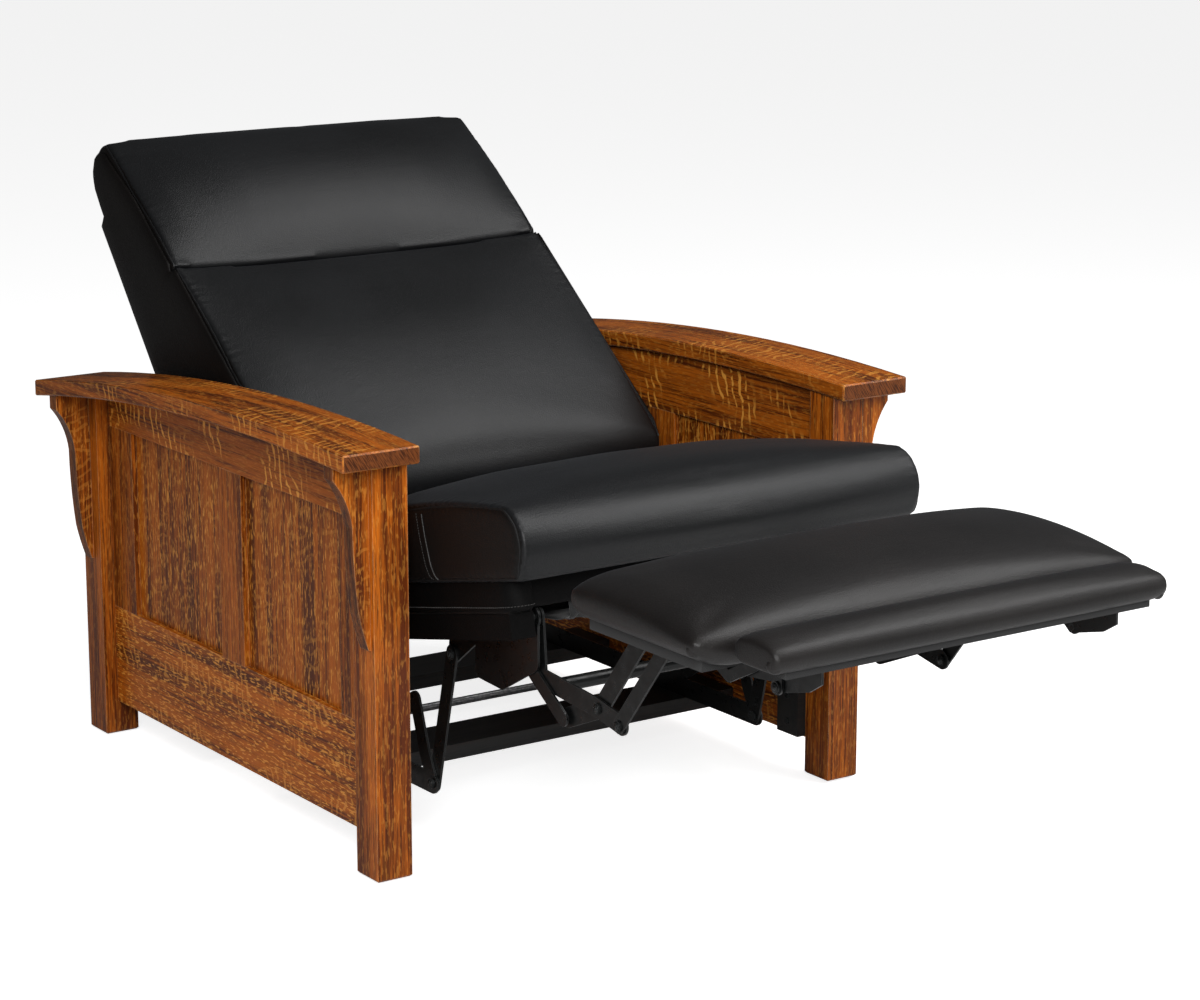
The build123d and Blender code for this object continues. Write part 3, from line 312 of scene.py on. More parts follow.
@dataclass(frozen=True)
class Style:
    """A look that makes one material, with the nodes that each kind of look states."""

    name: str

    def material(self, effects: Effects) -> bpy.types.Material:
        """Return the look's material."""
        finish = Finish(self.name, effects)
        self.build(finish, finish.graph)
        return finish.material

    def build(self, finish: Finish, graph: Graph) -> None:
        """Add the look's own nodes."""
        raise NotImplementedError


@dataclass(frozen=True)
class OakFinish(Style):
    """Stained and varnished quarter-sawn oak on one kind of board."""

    grain: Grain
    seed: float
    fleck: float = 0.5
    mottle: float = 0.5
    pores: float = 1.0
    tone: float = 1.0
    wear: float = 0.6
    dark: Color = (0.098, 0.018, 0.0015, 1.0)
    light: Color = (0.5, 0.12, 0.006, 1.0)
    ray: Color = (0.92, 0.39, 0.06, 1.0)

    def build(self, finish: Finish, graph: Graph) -> None:
        """Colour the board by its grain and wear its edges."""
        shift = (self.seed * 0.37, self.seed * 0.53, self.seed * 0.71)
        turned = graph.placed(finish.place, turn=self.grain.value, shift=shift)
        wood = finish.group(finish.effects.wood_grain, {
            "Vector": turned, "Dark": toned(self.dark, self.tone),
            "Light": toned(self.light, self.tone), "Fleck Color": toned(self.ray, self.tone),
            "Pores": self.pores, "Fleck": self.fleck, "Mottle": self.mottle})
        edge = finish.group(finish.effects.edge_wear, {"Width": 0.0022}).outputs["Mask"]
        worn = graph.math("MULTIPLY", edge, self.wear)
        color = graph.mix(worn, wood.outputs["Color"], tinted(0.62, 0.35, 0.17))
        finish.shade(base_color=color, roughness=wood.outputs["Roughness"], coat_weight=0.07,
                     coat_roughness=0.2, specular_ior_level=0.2)
        finish.bump(wood.outputs["Height"], strength=0.35, depth=0.0004)


@dataclass(frozen=True)
class EndGrainFinish(Style):
    """The dark sawn end of an oak arm, with slanted pore lines."""

    seed: float

    def build(self, finish: Finish, graph: Graph) -> None:
        """Draw the leaning pore lines."""
        leaning = graph.placed(finish.place, turn=(0.0, 0.55, 0.0), shift=(self.seed, 0.0, 0.0))
        lines = graph.noise(graph.placed(leaning, (900, 300, 70)), detail=3.0, distortion=0.3)
        dark = graph.ease(lines, 0.42, 0.62)
        color = graph.mix(dark, tinted(0.17, 0.048, 0.011), tinted(0.05, 0.013, 0.003))
        edge = finish.group(finish.effects.edge_wear, {"Width": 0.002}).outputs["Mask"]
        color = graph.mix(graph.math("MULTIPLY", edge, 0.6), color, tinted(0.42, 0.2, 0.08))
        finish.shade(base_color=color, roughness=graph.ease(dark, 0, 1, 0.42, 0.56),
                     coat_weight=0.04, coat_roughness=0.3, specular_ior_level=0.2)
        finish.bump(graph.math("SUBTRACT", 1.0, dark), strength=0.4, depth=0.0004)


@dataclass(frozen=True)
class LeatherFinish(Style):
    """Upholstery leather with a fine pebbled grain."""

    deep: Color
    raised: Color
    roughness: float = 0.4
    cell: float = 620.0
    creases: float = 0.25
    sheen: float = 0.12
    specular: float = 0.36
    bump: float = 0.42

    def build(self, finish: Finish, graph: Graph) -> None:
        """Colour and pebble the hide."""
        hide = finish.group(finish.effects.hide, {"Vector": finish.place, "Cell": self.cell,
                                                  "Creases": self.creases})
        color = graph.mix(hide.outputs["Tone"], self.deep, self.raised)
        finish.shade(base_color=color, roughness=graph.math("ADD", hide.outputs["Roughness"],
                                                            self.roughness),
                     specular_ior_level=self.specular, sheen_weight=self.sheen,
                     sheen_roughness=0.45, sheen_tint=tinted(0.8, 0.88, 1.0))
        finish.bump(hide.outputs["Height"], strength=self.bump, depth=0.0006)


@dataclass(frozen=True)
class PaintedSteelFinish(Style):
    """Stamped steel under black paint, brighter on its rubbed edges."""

    paint: Color = (0.0045, 0.0048, 0.0048, 1.0)
    rub: float = 0.4
    roughness: float = 0.31

    def build(self, finish: Finish, graph: Graph) -> None:
        """Blotch the paint, rub its edges and dust it."""
        blotch = graph.noise(finish.place, 70.0, 4.0, 0.6)
        edge = finish.group(finish.effects.edge_wear, {"Width": 0.0012}).outputs["Mask"]
        rubbed = graph.math("MULTIPLY", edge, self.rub)
        dust = finish.group(finish.effects.dust,
                            {"Vector": finish.place, "Amount": 0.03}).outputs["Mask"]
        color = graph.mix(rubbed, self.paint, tinted(0.16, 0.165, 0.17))
        color = graph.mix(dust, color, tinted(0.2, 0.19, 0.17))
        finish.shade(base_color=color, roughness=graph.ease(blotch, 0.3, 0.7, self.roughness - 0.06,
                                                            self.roughness + 0.12),
                     metallic=graph.math("MULTIPLY", rubbed, 0.6), specular_ior_level=0.28)
        finish.bump(blotch, strength=0.12, depth=0.0006)


@dataclass(frozen=True)
class BareMetalFinish(Style):
    """Zinc plate on pins, washers and screws."""

    color: Color
    roughness: float

    def build(self, finish: Finish, graph: Graph) -> None:
        """Cloud the plating."""
        cloud = graph.noise(finish.place, 260.0, 3.0, 0.6)
        color = graph.mix(graph.ease(cloud, 0.35, 0.7), self.color, toned(self.color, 0.6))
        finish.shade(base_color=color, metallic=0.9,
                     roughness=graph.ease(cloud, 0.3, 0.7, self.roughness, self.roughness + 0.15))


@dataclass(frozen=True)
class ClothFinish(Style):
    """Black woven cloth, for webbing, deck and dust covers."""

    color: Color
    pitch: float = 900.0

    def build(self, finish: Finish, graph: Graph) -> None:
        """Weave the threads."""
        axes = graph.add("ShaderNodeSeparateXYZ", {0: finish.place}).outputs
        over = graph.math("SINE", graph.math("MULTIPLY", axes["X"], self.pitch * 2))
        under = graph.math("SINE", graph.math("MULTIPLY", graph.math("ADD", axes["Y"], axes["Z"]),
                                              self.pitch * 2))
        weave = graph.ease(graph.math("MULTIPLY", over, under), -1.0, 1.0)
        color = graph.mix(weave, self.color, toned(self.color, 2.0))
        finish.shade(base_color=color, roughness=0.85, sheen_weight=0.25, sheen_roughness=0.5)
        finish.bump(weave, strength=0.3, depth=0.0005)


@dataclass(frozen=True)
class SoftwoodFinish(Style):
    """Plain sanded wood of the hidden rails, or the same wood under black stain."""

    dark: Color
    light: Color
    grain: Grain

    def build(self, finish: Finish, graph: Graph) -> None:
        """Colour the wood by its grain."""
        turned = graph.placed(finish.place, turn=self.grain.value)
        wood = finish.group(finish.effects.wood_grain, {
            "Vector": turned, "Dark": self.dark, "Light": self.light,
            "Fleck Color": self.light, "Pores": 0.5, "Fleck": 0.0, "Mottle": 0.2})
        finish.shade(base_color=wood.outputs["Color"], roughness=0.6)
        finish.bump(wood.outputs["Height"], strength=0.25, depth=0.0004)


@dataclass(frozen=True)
class PlasticFinish(Style):
    """Moulded plastic with a faint texture."""

    color: Color

    def build(self, finish: Finish, graph: Graph) -> None:
        """Give the plastic its faint texture."""
        grainy = graph.noise(finish.place, 800.0, 2.0, 0.5)
        color = graph.mix(grainy, self.color, toned(self.color, 0.8))
        finish.shade(base_color=color, roughness=graph.ease(grainy, 0.3, 0.7, 0.42, 0.6))
        finish.bump(grainy, strength=0.15, depth=0.0003)


@dataclass(frozen=True)
class Tilted:
    """A frame in the side view, such as the seat's or the back's own."""

    foot: Point
    degrees: float

    def out(self, rows: np.ndarray) -> np.ndarray:
        """Return model metres for rows of x, along and up in the frame's millimetres."""
        turn = math.radians(self.degrees)
        y = self.foot[0] + rows[:, 1] * math.cos(turn) - rows[:, 2] * math.sin(turn)
        z = self.foot[1] + rows[:, 1] * math.sin(turn) + rows[:, 2] * math.cos(turn)
        return np.column_stack([rows[:, 0], y - ORIGIN_BEHIND_FRONT, z]) * MM

    def into(self, rows: np.ndarray) -> np.ndarray:
        """Return the frame's millimetres for rows of model metres."""
        turn = math.radians(self.degrees)
        y = rows[:, 1] / MM + ORIGIN_BEHIND_FRONT - self.foot[0]
        z = rows[:, 2] / MM - self.foot[1]
        return np.column_stack([rows[:, 0] / MM, y * math.cos(turn) + z * math.sin(turn),
                                z * math.cos(turn) - y * math.sin(turn)])


SEAT_FRAME = Tilted((282.0, 318.5), -12.5)
BACK_FRAME = Tilted((308.0, 433.0), 37.7)


def bowed(start: Point, end: Point, through: Point | None, count: int) -> list[Point]:
    """Return points from start up to but without end, on a line or on an arc through a third."""
    shares = np.arange(count) / count
    a, b = np.asarray(start, float), np.asarray(end, float)
    if through is None:
        return [tuple(a + (b - a) * s) for s in shares]
    c = np.asarray(through, float)
    turn = np.array([[b[0] - a[0], b[1] - a[1]], [c[0] - a[0], c[1] - a[1]]]) * 2
    centre = np.linalg.solve(turn, [b @ b - a @ a, c @ c - a @ a])
    angles = [math.atan2(*(p - centre)[::-1]) for p in (a, c, b)]
    sweep = (angles[2] - angles[0]) % math.tau
    if (angles[1] - angles[0]) % math.tau > sweep:
        sweep -= math.tau
    radius = np.linalg.norm(a - centre)
    return [tuple(centre + radius * np.array([math.cos(angles[0] + sweep * s),
                                              math.sin(angles[0] + sweep * s)])) for s in shares]


def outline(corners: Sequence[Point], bulges: Sequence[Point | None],
            count: int = 16) -> np.ndarray:
    """Return a closed outline with each side straight or bulging through a point."""
    points: list[Point] = []
    for start, end, through in zip(corners, [*corners[1:], corners[0]], bulges):
        points += bowed(start, end, through, count)
    return np.array(points)


def new_piece(name: str, rows: np.ndarray, faces: Sequence[Sequence[int]],
              material: bpy.types.Material | None = None) -> bpy.types.Object:
    """Return a mesh object at the origin, with its normals pointing outwards.

    Args:
        name: The object's name.
        rows: Vertices in model metres.
        faces: Vertex numbers of each face.
        material: The material, or None.

    Returns:
        The new object.
    """
    mesh = bpy.data.meshes.new(name)
    mesh.from_pydata([tuple(row) for row in rows], [], [tuple(f) for f in faces])
    tidy = bmesh.new()
    tidy.from_mesh(mesh)
    bmesh.ops.remove_doubles(tidy, verts=tidy.verts, dist=1e-6)
    bmesh.ops.recalc_face_normals(tidy, faces=tidy.faces)
    tidy.to_mesh(mesh)
    tidy.free()
    shade_smooth(mesh)
    if material is not None:
        mesh.materials.append(material)
    piece = bpy.data.objects.new(name, mesh)
    bpy.context.scene.collection.objects.link(piece)
    return piece


def loops_to_faces(rings: int, around: int, capped: bool = True) -> list[list[int]]:
    """Return the faces of a tube of closed rings, with a face over each end if it is capped."""
    faces = []
    for r in range(rings - 1):
        for i in range(around):
            j = (i + 1) % around
            faces.append([r * around + i, r * around + j, (r + 1) * around + j,
                          (r + 1) * around + i])
    if capped:
        faces.append(list(range(around))[::-1])
        faces.append(list(range((rings - 1) * around, rings * around)))
    return faces


def grid_faces(down: int, across: int) -> list[list[int]]:
    """Return the faces of an open grid of rows."""
    return [[j * across + i, j * across + i + 1, (j + 1) * across + i + 1, (j + 1) * across + i]
            for j in range(down - 1) for i in range(across - 1)]


def shade_smooth(mesh: bpy.types.Mesh) -> None:
    """Shade every face smooth."""
    mesh.polygons.foreach_set("use_smooth", [True] * len(mesh.polygons))


def vertices_of(mesh: bpy.types.Mesh) -> np.ndarray:
    """Return a mesh's vertices as rows."""
    rows = np.empty(len(mesh.vertices) * 3)
    mesh.vertices.foreach_get("co", rows)
    return rows.reshape(-1, 3)


def normals_of(mesh: bpy.types.Mesh) -> np.ndarray:
    """Return a mesh's vertex normals as rows."""
    rows = np.empty(len(mesh.vertices) * 3)
    mesh.vertex_normals.foreach_get("vector", rows)
    return rows.reshape(-1, 3)


def move_vertices(mesh: bpy.types.Mesh, rows: np.ndarray) -> None:
    """Put a mesh's vertices at new places."""
    mesh.vertices.foreach_set("co", rows.reshape(-1))
    mesh.update()


def settle(piece: bpy.types.Object) -> bpy.types.Object:
    """Make a piece's modifiers part of its mesh, with its materials kept."""
    view = bpy.context.evaluated_depsgraph_get()
    mesh = bpy.data.meshes.new_from_object(piece.evaluated_get(view), depsgraph=view)
    piece.modifiers.clear()
    old, piece.data = piece.data, mesh
    bpy.data.meshes.remove(old)
    shade_smooth(mesh)
    return piece


def refine(piece: bpy.types.Object) -> bpy.types.Object:
    """Round a piece off with one step of subdivision."""
    finer = piece.modifiers.new("finer", "SUBSURF")
    finer.levels = finer.render_levels = 1
    return settle(piece)


def dense(path: np.ndarray, step: float = 0.002) -> np.ndarray:
    """Return a path divided evenly into short steps."""
    lengths = np.r_[0.0, np.cumsum(np.linalg.norm(np.diff(path, axis=0), axis=1))]
    count = max(int(lengths[-1] / step), 2)
    spots = np.linspace(0.0, lengths[-1], count + 1)
    return np.column_stack([np.interp(spots, lengths, path[:, k]) for k in range(3)])


@dataclass
class Seam:
    """A sewn line on a cushion, in model metres.

    depth and width shape the groove it pulls in, and pucker is the height of the little folds
    that run out from it.
    """

    path: np.ndarray
    depth: float = 2.0
    width: float = 6.0
    pucker: float = 0.0
    pucker_reach: float = 16.0
    pucker_pitch: float = 13.0


class Stuffing:
    """Turns a closed form into a stuffed leather piece by a cloth simulation under pressure."""

    FRAMES = 20
    QUALITY = 3
    STRETCH_STIFFNESS = 30.0
    SHEAR_STIFFNESS = 15.0
    BENDING_STIFFNESS = 12.0
    SEWN_STEPS = 10
    FOLD_SEED = 3

    def __init__(self, voxel: float, start: float, rounds: int, pressure: float = 4.0,
                 cap: float = 9.0) -> None:
        """Keep the settings, in millimetres where they are lengths.

        Args:
            voxel: The size of the even mesh's faces.
            start: How far the form is drawn in before it swells.
            rounds: How often the mesh is eased before the simulation, and again after it.
            pressure: The pressure inside.
            cap: The most that the hide moves away from its form.
        """
        self.voxel = voxel
        self.start = start
        self.rounds = rounds
        self.pressure = pressure
        self.cap = cap

    def fill(self, piece: bpy.types.Object, held: Callable[[np.ndarray], np.ndarray],
             keep: Callable[[np.ndarray], np.ndarray]) -> None:
        """Remesh a form, swell it and make the result its mesh.

        Args:
            piece: The closed form, changed in place.
            held: Gives each vertex, in model metres, a share from 0, free, to 1, sewn down.
            keep: Moves vertices back into the room that the piece has.
        """
        remesh = piece.modifiers.new("even", "REMESH")
        remesh.mode, remesh.voxel_size = "VOXEL", self.voxel * MM
        self.ease(piece)
        self.swell(piece, held)
        move_vertices(piece.data, keep(vertices_of(piece.data)))
        refine(piece)

    def ease(self, piece: bpy.types.Object) -> None:
        """Smooth a piece's mesh."""
        soften = piece.modifiers.new("soften", "SMOOTH")
        soften.factor, soften.iterations = 0.5, self.rounds
        settle(piece)

    def swell(self, piece: bpy.types.Object, held: Callable[[np.ndarray], np.ndarray]) -> None:
        """Run the cloth simulation and keep its last frame, with the moves capped."""
        rest = vertices_of(piece.data)
        share = np.clip(held(rest), 0.0, 1.0)
        drawn_in = (self.start * MM * (1 - share))[:, None]
        move_vertices(piece.data, rest - normals_of(piece.data) * drawn_in)
        sewn = piece.vertex_groups.new(name="sewn")
        steps = np.round(share * self.SEWN_STEPS).astype(int)
        for step in range(1, self.SEWN_STEPS + 1):
            sewn.add(np.flatnonzero(steps == step).tolist(), step / self.SEWN_STEPS, "REPLACE")
        cloth = piece.modifiers.new("stuffing", "CLOTH")
        cloth.point_cache.frame_start, cloth.point_cache.frame_end = 1, self.FRAMES
        settings = cloth.settings
        settings.quality = self.QUALITY
        settings.use_pressure = True
        settings.uniform_pressure_force = self.pressure
        settings.tension_stiffness = settings.compression_stiffness = self.STRETCH_STIFFNESS
        settings.shear_stiffness = self.SHEAR_STIFFNESS
        settings.bending_stiffness = self.BENDING_STIFFNESS
        settings.vertex_group_mass = "sewn"
        settings.effector_weights.gravity = 0
        cloth.collision_settings.use_collision = False
        cloth.collision_settings.use_self_collision = False
        for number in range(1, self.FRAMES + 1):
            bpy.context.scene.frame_set(number)
        settle(piece)
        piece.vertex_groups.clear()
        bpy.context.scene.frame_set(1)
        moved = vertices_of(piece.data) - rest
        length = np.linalg.norm(moved, axis=1, keepdims=True)
        share = np.tanh(length / (self.cap * MM)) * self.cap * MM / np.maximum(length, 1e-9)
        move_vertices(piece.data, rest + moved * share)
        self.ease(piece)
        LOG.info("%s swelled by up to %.1f mm", piece.name, float(length.max()) / MM)

    @classmethod
    def sew(cls, piece: bpy.types.Object, seams: Sequence[Seam]) -> None:
        """Pull a groove in along each seam and raise the small folds beside it."""
        rows, normals = vertices_of(piece.data), normals_of(piece.data)
        shift = np.zeros(len(rows))
        rng = np.random.default_rng(cls.FOLD_SEED)
        for seam in seams:
            path = dense(seam.path)
            tree = KDTree(len(path))
            for number, spot in enumerate(path):
                tree.insert(spot, number)
            tree.balance()
            reach = max(seam.width * 3, seam.pucker_reach * 2) * MM
            low, high = path.min(0) - reach, path.max(0) + reach
            near = np.flatnonzero(np.all((rows > low) & (rows < high), axis=1))
            phases = rng.uniform(0, math.tau, 3)
            for i in near:
                _, number, distance = tree.find(rows[i])
                away = distance / MM
                shift[i] -= seam.depth * math.exp(-(away / seam.width) ** 2)
                if seam.pucker and away < seam.pucker_reach * 2:
                    along = number * 2.0 / seam.pucker_pitch * math.tau
                    wave = (math.sin(along + phases[0]) + 0.6 * math.sin(along * 0.63 + phases[1])
                            + 0.4 * math.sin(along * 1.7 + phases[2]))
                    swell = 0.55 + 0.45 * math.sin(along * 0.11 + phases[2])
                    beside = min(away / seam.width, 1.0)
                    fade = math.exp(-(away / seam.pucker_reach) ** 2) * beside * swell
                    shift[i] += seam.pucker * wave * fade
        move_vertices(piece.data, rows + normals * (shift * MM)[:, None])


def snapped(path: np.ndarray, piece: bpy.types.Object, lift: float) -> np.ndarray:
    """Return a path laid on a piece's surface.

    Args:
        path: The wanted path in model metres.
        piece: The piece that it lies on.
        lift: How far it stands off the surface, in millimetres, along the surface's normal.

    Returns:
        The path's places on the piece.
    """
    tree = BVHTree.FromPolygons([v.co for v in piece.data.vertices],
                                [tuple(p.vertices) for p in piece.data.polygons])
    laid = []
    for spot in dense(path, 0.004):
        place, normal, _, _ = tree.find_nearest(Vector(spot))
        laid.append(place + normal * lift * MM)
    return np.array(laid)


class GrowingPattern:
    """A Geometry Nodes tree with named sizes, which grows one plain mesh on points or edges."""

    def __init__(self, name: str, sizes: dict[str, float]) -> None:
        """Start a tree with a geometry and a material input and one input for each size."""
        self.tree = bpy.data.node_groups.new(name, "GeometryNodeTree")
        self.sockets: dict[str, str] = {}
        face = self.tree.interface
        face.new_socket(name="Geometry", in_out="INPUT", socket_type="NodeSocketGeometry")
        face.new_socket(name="Geometry", in_out="OUTPUT", socket_type="NodeSocketGeometry")
        for label, value in sizes.items():
            socket = face.new_socket(name=label, in_out="INPUT", socket_type="NodeSocketFloat")
            socket.default_value = value
            self.sockets[label] = socket.identifier
        socket = face.new_socket(name="Material", in_out="INPUT", socket_type="NodeSocketMaterial")
        self.sockets["Material"] = socket.identifier
        self.graph = Graph(self.tree)
        self.given = self.tree.nodes.new("NodeGroupInput").outputs
        self.out = self.tree.nodes.new("NodeGroupOutput")
        self.build()

    def build(self) -> None:
        """Add the tree's own nodes, which each pattern states."""
        raise NotImplementedError

    def end(self, geometry: bpy.types.NodeSocket) -> None:
        """Close the tree with real meshes that carry the material."""
        real = self.graph.add("GeometryNodeRealizeInstances", {0: geometry}).outputs[0]
        dressed = self.graph.add("GeometryNodeSetMaterial", {"Geometry": real,
                                                             "Material": self.given["Material"]})
        self.graph.feed(self.out.inputs[0], dressed.outputs[0])

    def set_on_points(self, part: bpy.types.NodeSocket) -> None:
        """Set a part on each point, turned the way that the point faces, and close the tree."""
        graph = self.graph
        facing = graph.add("GeometryNodeInputNamedAttribute", {"Name": "facing"},
                           data_type="FLOAT_VECTOR").outputs["Attribute"]
        turn = graph.add("FunctionNodeAlignRotationToVector", {"Vector": facing},
                         axis="Z").outputs[0]
        spots = graph.add("GeometryNodeMeshToPoints", {"Mesh": self.given["Geometry"]}).outputs[0]
        self.end(graph.add("GeometryNodeInstanceOnPoints", {
            "Points": spots, "Instance": part, "Rotation": turn}).outputs[0])

    def grow(self, name: str, rows: np.ndarray, edges: Sequence[tuple[int, int]],
             facing: np.ndarray | None, material: bpy.types.Material,
             **sizes: float) -> bpy.types.Object:
        """Grow the pattern on points or edges.

        Args:
            name: The new piece's name.
            rows: Points in model metres.
            edges: Pairs of point numbers, for patterns that follow a path.
            facing: A direction for each point, or None.
            material: The material of the result.
            **sizes: Values for the named inputs, with underlines for spaces.

        Returns:
            The new piece, a plain mesh.
        """
        mesh = bpy.data.meshes.new(name)
        mesh.from_pydata([tuple(row) for row in rows], list(edges), [])
        if facing is not None:
            mesh.attributes.new("facing", "FLOAT_VECTOR", "POINT").data.foreach_set(
                "vector", np.asarray(facing, float).reshape(-1))
        piece = bpy.data.objects.new(name, mesh)
        bpy.context.scene.collection.objects.link(piece)
        modifier = piece.modifiers.new("pattern", "NODES")
        modifier.node_group = self.tree
        modifier[self.sockets["Material"]] = material
        for label, value in sizes.items():
            modifier[self.sockets[label.replace("_", " ").title()]] = float(value)
        return settle(piece)


class DomedHeads(GrowingPattern):
    """Round heads with an eased rim, one at each point, facing its own way."""

    def build(self) -> None:
        """Set a low cone and a small dome on each point."""
        graph, given = self.graph, self.given
        rim = graph.add("GeometryNodeMeshCone", {"Vertices": 20, "Radius Top": graph.math(
            "MULTIPLY", given["Radius"], 0.72), "Radius Bottom": given["Radius"],
            "Depth": given["Height"]}).outputs["Mesh"]
        boss = graph.add("GeometryNodeMeshCone", {"Vertices": 20, "Radius Top": graph.math(
            "MULTIPLY", given["Radius"], 0.2), "Radius Bottom": graph.math("MULTIPLY",
                                                                           given["Radius"], 0.5),
            "Depth": graph.math("MULTIPLY", given["Height"], 0.4)}).outputs["Mesh"]
        lifted = graph.add("GeometryNodeTransform", {"Geometry": boss, "Translation": graph.add(
            "ShaderNodeCombineXYZ", {2: given["Height"]}).outputs[0]}).outputs[0]
        head = graph.add("GeometryNodeJoinGeometry", {0: rim})
        self.tree.links.new(lifted, head.inputs[0])
        self.set_on_points(head.outputs[0])


class HexNuts(GrowingPattern):
    """Six-sided nuts on round washers, one at each point, facing its own way."""

    def build(self) -> None:
        """Stack a washer, a nut and a short thread end on each point."""
        graph, given = self.graph, self.given
        stack = graph.add("GeometryNodeJoinGeometry")
        for sides, wide, tall, up in ((24, 1.35, 0.25, 0.12), (6, 1.0, 0.8, 0.65),
                                      (16, 0.5, 1.3, 0.7)):
            part = graph.add("GeometryNodeMeshCylinder", {
                "Vertices": sides, "Radius": graph.math("MULTIPLY", given["Radius"], wide),
                "Depth": graph.math("MULTIPLY", given["Height"], tall)}).outputs["Mesh"]
            moved = graph.add("GeometryNodeTransform", {"Geometry": part, "Translation": graph.add(
                "ShaderNodeCombineXYZ", {2: graph.math("MULTIPLY", given["Height"],
                                                       up)}).outputs[0]})
            self.tree.links.new(moved.outputs[0], stack.inputs[0])
        self.set_on_points(stack.outputs[0])


class Piping(GrowingPattern):
    """A round cord or thread along a path of edges."""

    def build(self) -> None:
        """Sweep a small circle along the path."""
        graph, given = self.graph, self.given
        path = graph.add("GeometryNodeMeshToCurve", {"Mesh": given["Geometry"]}).outputs[0]
        even = graph.add("GeometryNodeResampleCurve", {"Curve": path, "Length": given["Step"]},
                         mode="LENGTH").outputs[0]
        ring = graph.add("GeometryNodeCurvePrimitiveCircle",
                         {"Resolution": 8, "Radius": given["Radius"]})
        tube = graph.add("GeometryNodeCurveToMesh",
                         {"Curve": even, "Profile Curve": ring.outputs[0],
                          "Fill Caps": True}).outputs[0]
        self.end(tube)


class StitchRow(GrowingPattern):
    """Short thread stitches laid end to end along a path."""

    def build(self) -> None:
        """Set one slim stitch on each step of the path."""
        graph, given = self.graph, self.given
        path = graph.add("GeometryNodeMeshToCurve", {"Mesh": given["Geometry"]}).outputs[0]
        spots = graph.add("GeometryNodeCurveToPoints", {"Curve": path, "Length": given["Pitch"]},
                          mode="LENGTH")
        thread = graph.add("GeometryNodeMeshIcoSphere",
                           {"Radius": 1.0, "Subdivisions": 2}).outputs["Mesh"]
        slim = graph.add("ShaderNodeCombineXYZ", {
            0: given["Thickness"], 1: given["Thickness"],
            2: graph.math("MULTIPLY", given["Pitch"], 0.4)}).outputs[0]
        turn = graph.add("FunctionNodeAlignRotationToVector", {"Vector": spots.outputs["Tangent"]},
                         axis="Z").outputs[0]
        self.end(graph.add("GeometryNodeInstanceOnPoints", {
            "Points": spots.outputs["Points"], "Instance": thread, "Rotation": turn,
            "Scale": slim}).outputs[0])


def chain_edges(count: int, closed: bool = False) -> list[tuple[int, int]]:
    """Return the edges that join a row of points."""
    edges = [(i, i + 1) for i in range(count - 1)]
    return edges + [(count - 1, 0)] if closed else edges


@dataclass
class Workshop:
    """The finishes and growing patterns that every sub-assembly draws on."""

    effects: Effects = field(default_factory=Effects)
    finishes: dict[str, bpy.types.Material] = field(default_factory=dict)
    heads: DomedHeads = field(default_factory=lambda: DomedHeads("domed_heads", {
        "Radius": 0.007, "Height": 0.0022}))
    nuts: HexNuts = field(default_factory=lambda: HexNuts("hex_nuts",
                                                          {"Radius": 0.006, "Height": 0.004}))
    piping: Piping = field(default_factory=lambda: Piping("piping",
                                                          {"Radius": 0.002, "Step": 0.005}))
    stitches: StitchRow = field(default_factory=lambda: StitchRow("stitch_row", {
        "Pitch": 0.004, "Thickness": 0.0005}))
    made: int = 0

    def finish(self, style: Style) -> bpy.types.Material:
        """Return a finish's material, made the first time it is asked for."""
        if style.name not in self.finishes:
            self.finishes[style.name] = style.material(self.effects)
        return self.finishes[style.name]

    def dress(self, node: str, style: Style) -> None:
        """Give a CAD node one of the finishes."""
        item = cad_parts[node]
        item.data.materials.clear()
        item.data.materials.append(self.finish(style))
        LOG.info("dressed %s", node)

    def set_out(self, piece: bpy.types.Object, body: str, replaces: Sequence[str] = ()) -> bpy.types.Object:
        """Hand a finished piece over: its body and what it stands for."""
        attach(piece, body)
        if replaces:
            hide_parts(*replaces)
        self.made += 1
        LOG.info("made %s on %s with %d faces", piece.name, body, len(piece.data.polygons))
        return piece

    def cord(self, name: str, path: np.ndarray, body: str, style: Style,
             radius: float, closed: bool = False) -> bpy.types.Object:
        """Lay a piping cord or a seam's thread along a path."""
        piece = self.piping.grow(name, path, chain_edges(len(path), closed), None,
                                 self.finish(style), radius=radius * MM, step=0.004)
        return self.set_out(piece, body)

    def stitch(self, name: str, path: np.ndarray, body: str, pitch: float,
               thickness: float) -> bpy.types.Object:
        """Sew a row of stitches along a path."""
        row = self.stitches.grow(name, path, chain_edges(len(path)), None, self.finish(THREAD),
                                 pitch=pitch, thickness=thickness)
        return self.set_out(row, body)


BLACK_LEATHER = LeatherFinish("black_leather", tinted(0.0026, 0.0028, 0.0032),
                              tinted(0.0044, 0.0047, 0.0054), roughness=0.43, sheen=0.02)
FOOT_LEATHER = LeatherFinish("footrest_leather", tinted(0.0044, 0.0034, 0.003),
                             tinted(0.0076, 0.006, 0.0054), roughness=0.42, sheen=0.02)
DARK_LEATHER = LeatherFinish("dark_brown_leather", tinted(0.0028, 0.0021, 0.0018),
                             tinted(0.0046, 0.0034, 0.0029), roughness=0.5, sheen=0.0, specular=0.2)
# A darker copy of the black leather: painted shade for the apron, the seat band, the back's foot panel and
# the front strip, which hang in the shade under the seat.
APRON_LEATHER_PAINTED_SHADE = LeatherFinish("apron_leather", tinted(0.001, 0.0009, 0.0009),
                              tinted(0.0017, 0.0015, 0.0015), roughness=0.55, sheen=0.0,
                              specular=0.1)
# A darker copy of the black leather for the cords in the seat's side seams: painted shade of the seam's
# groove.
SEAM_GROOVE_SHADE_LEATHER = LeatherFinish("seam_leather", tinted(0.0010, 0.0010, 0.0011),
                             tinted(0.0016, 0.0016, 0.0017), roughness=0.6, sheen=0.0)
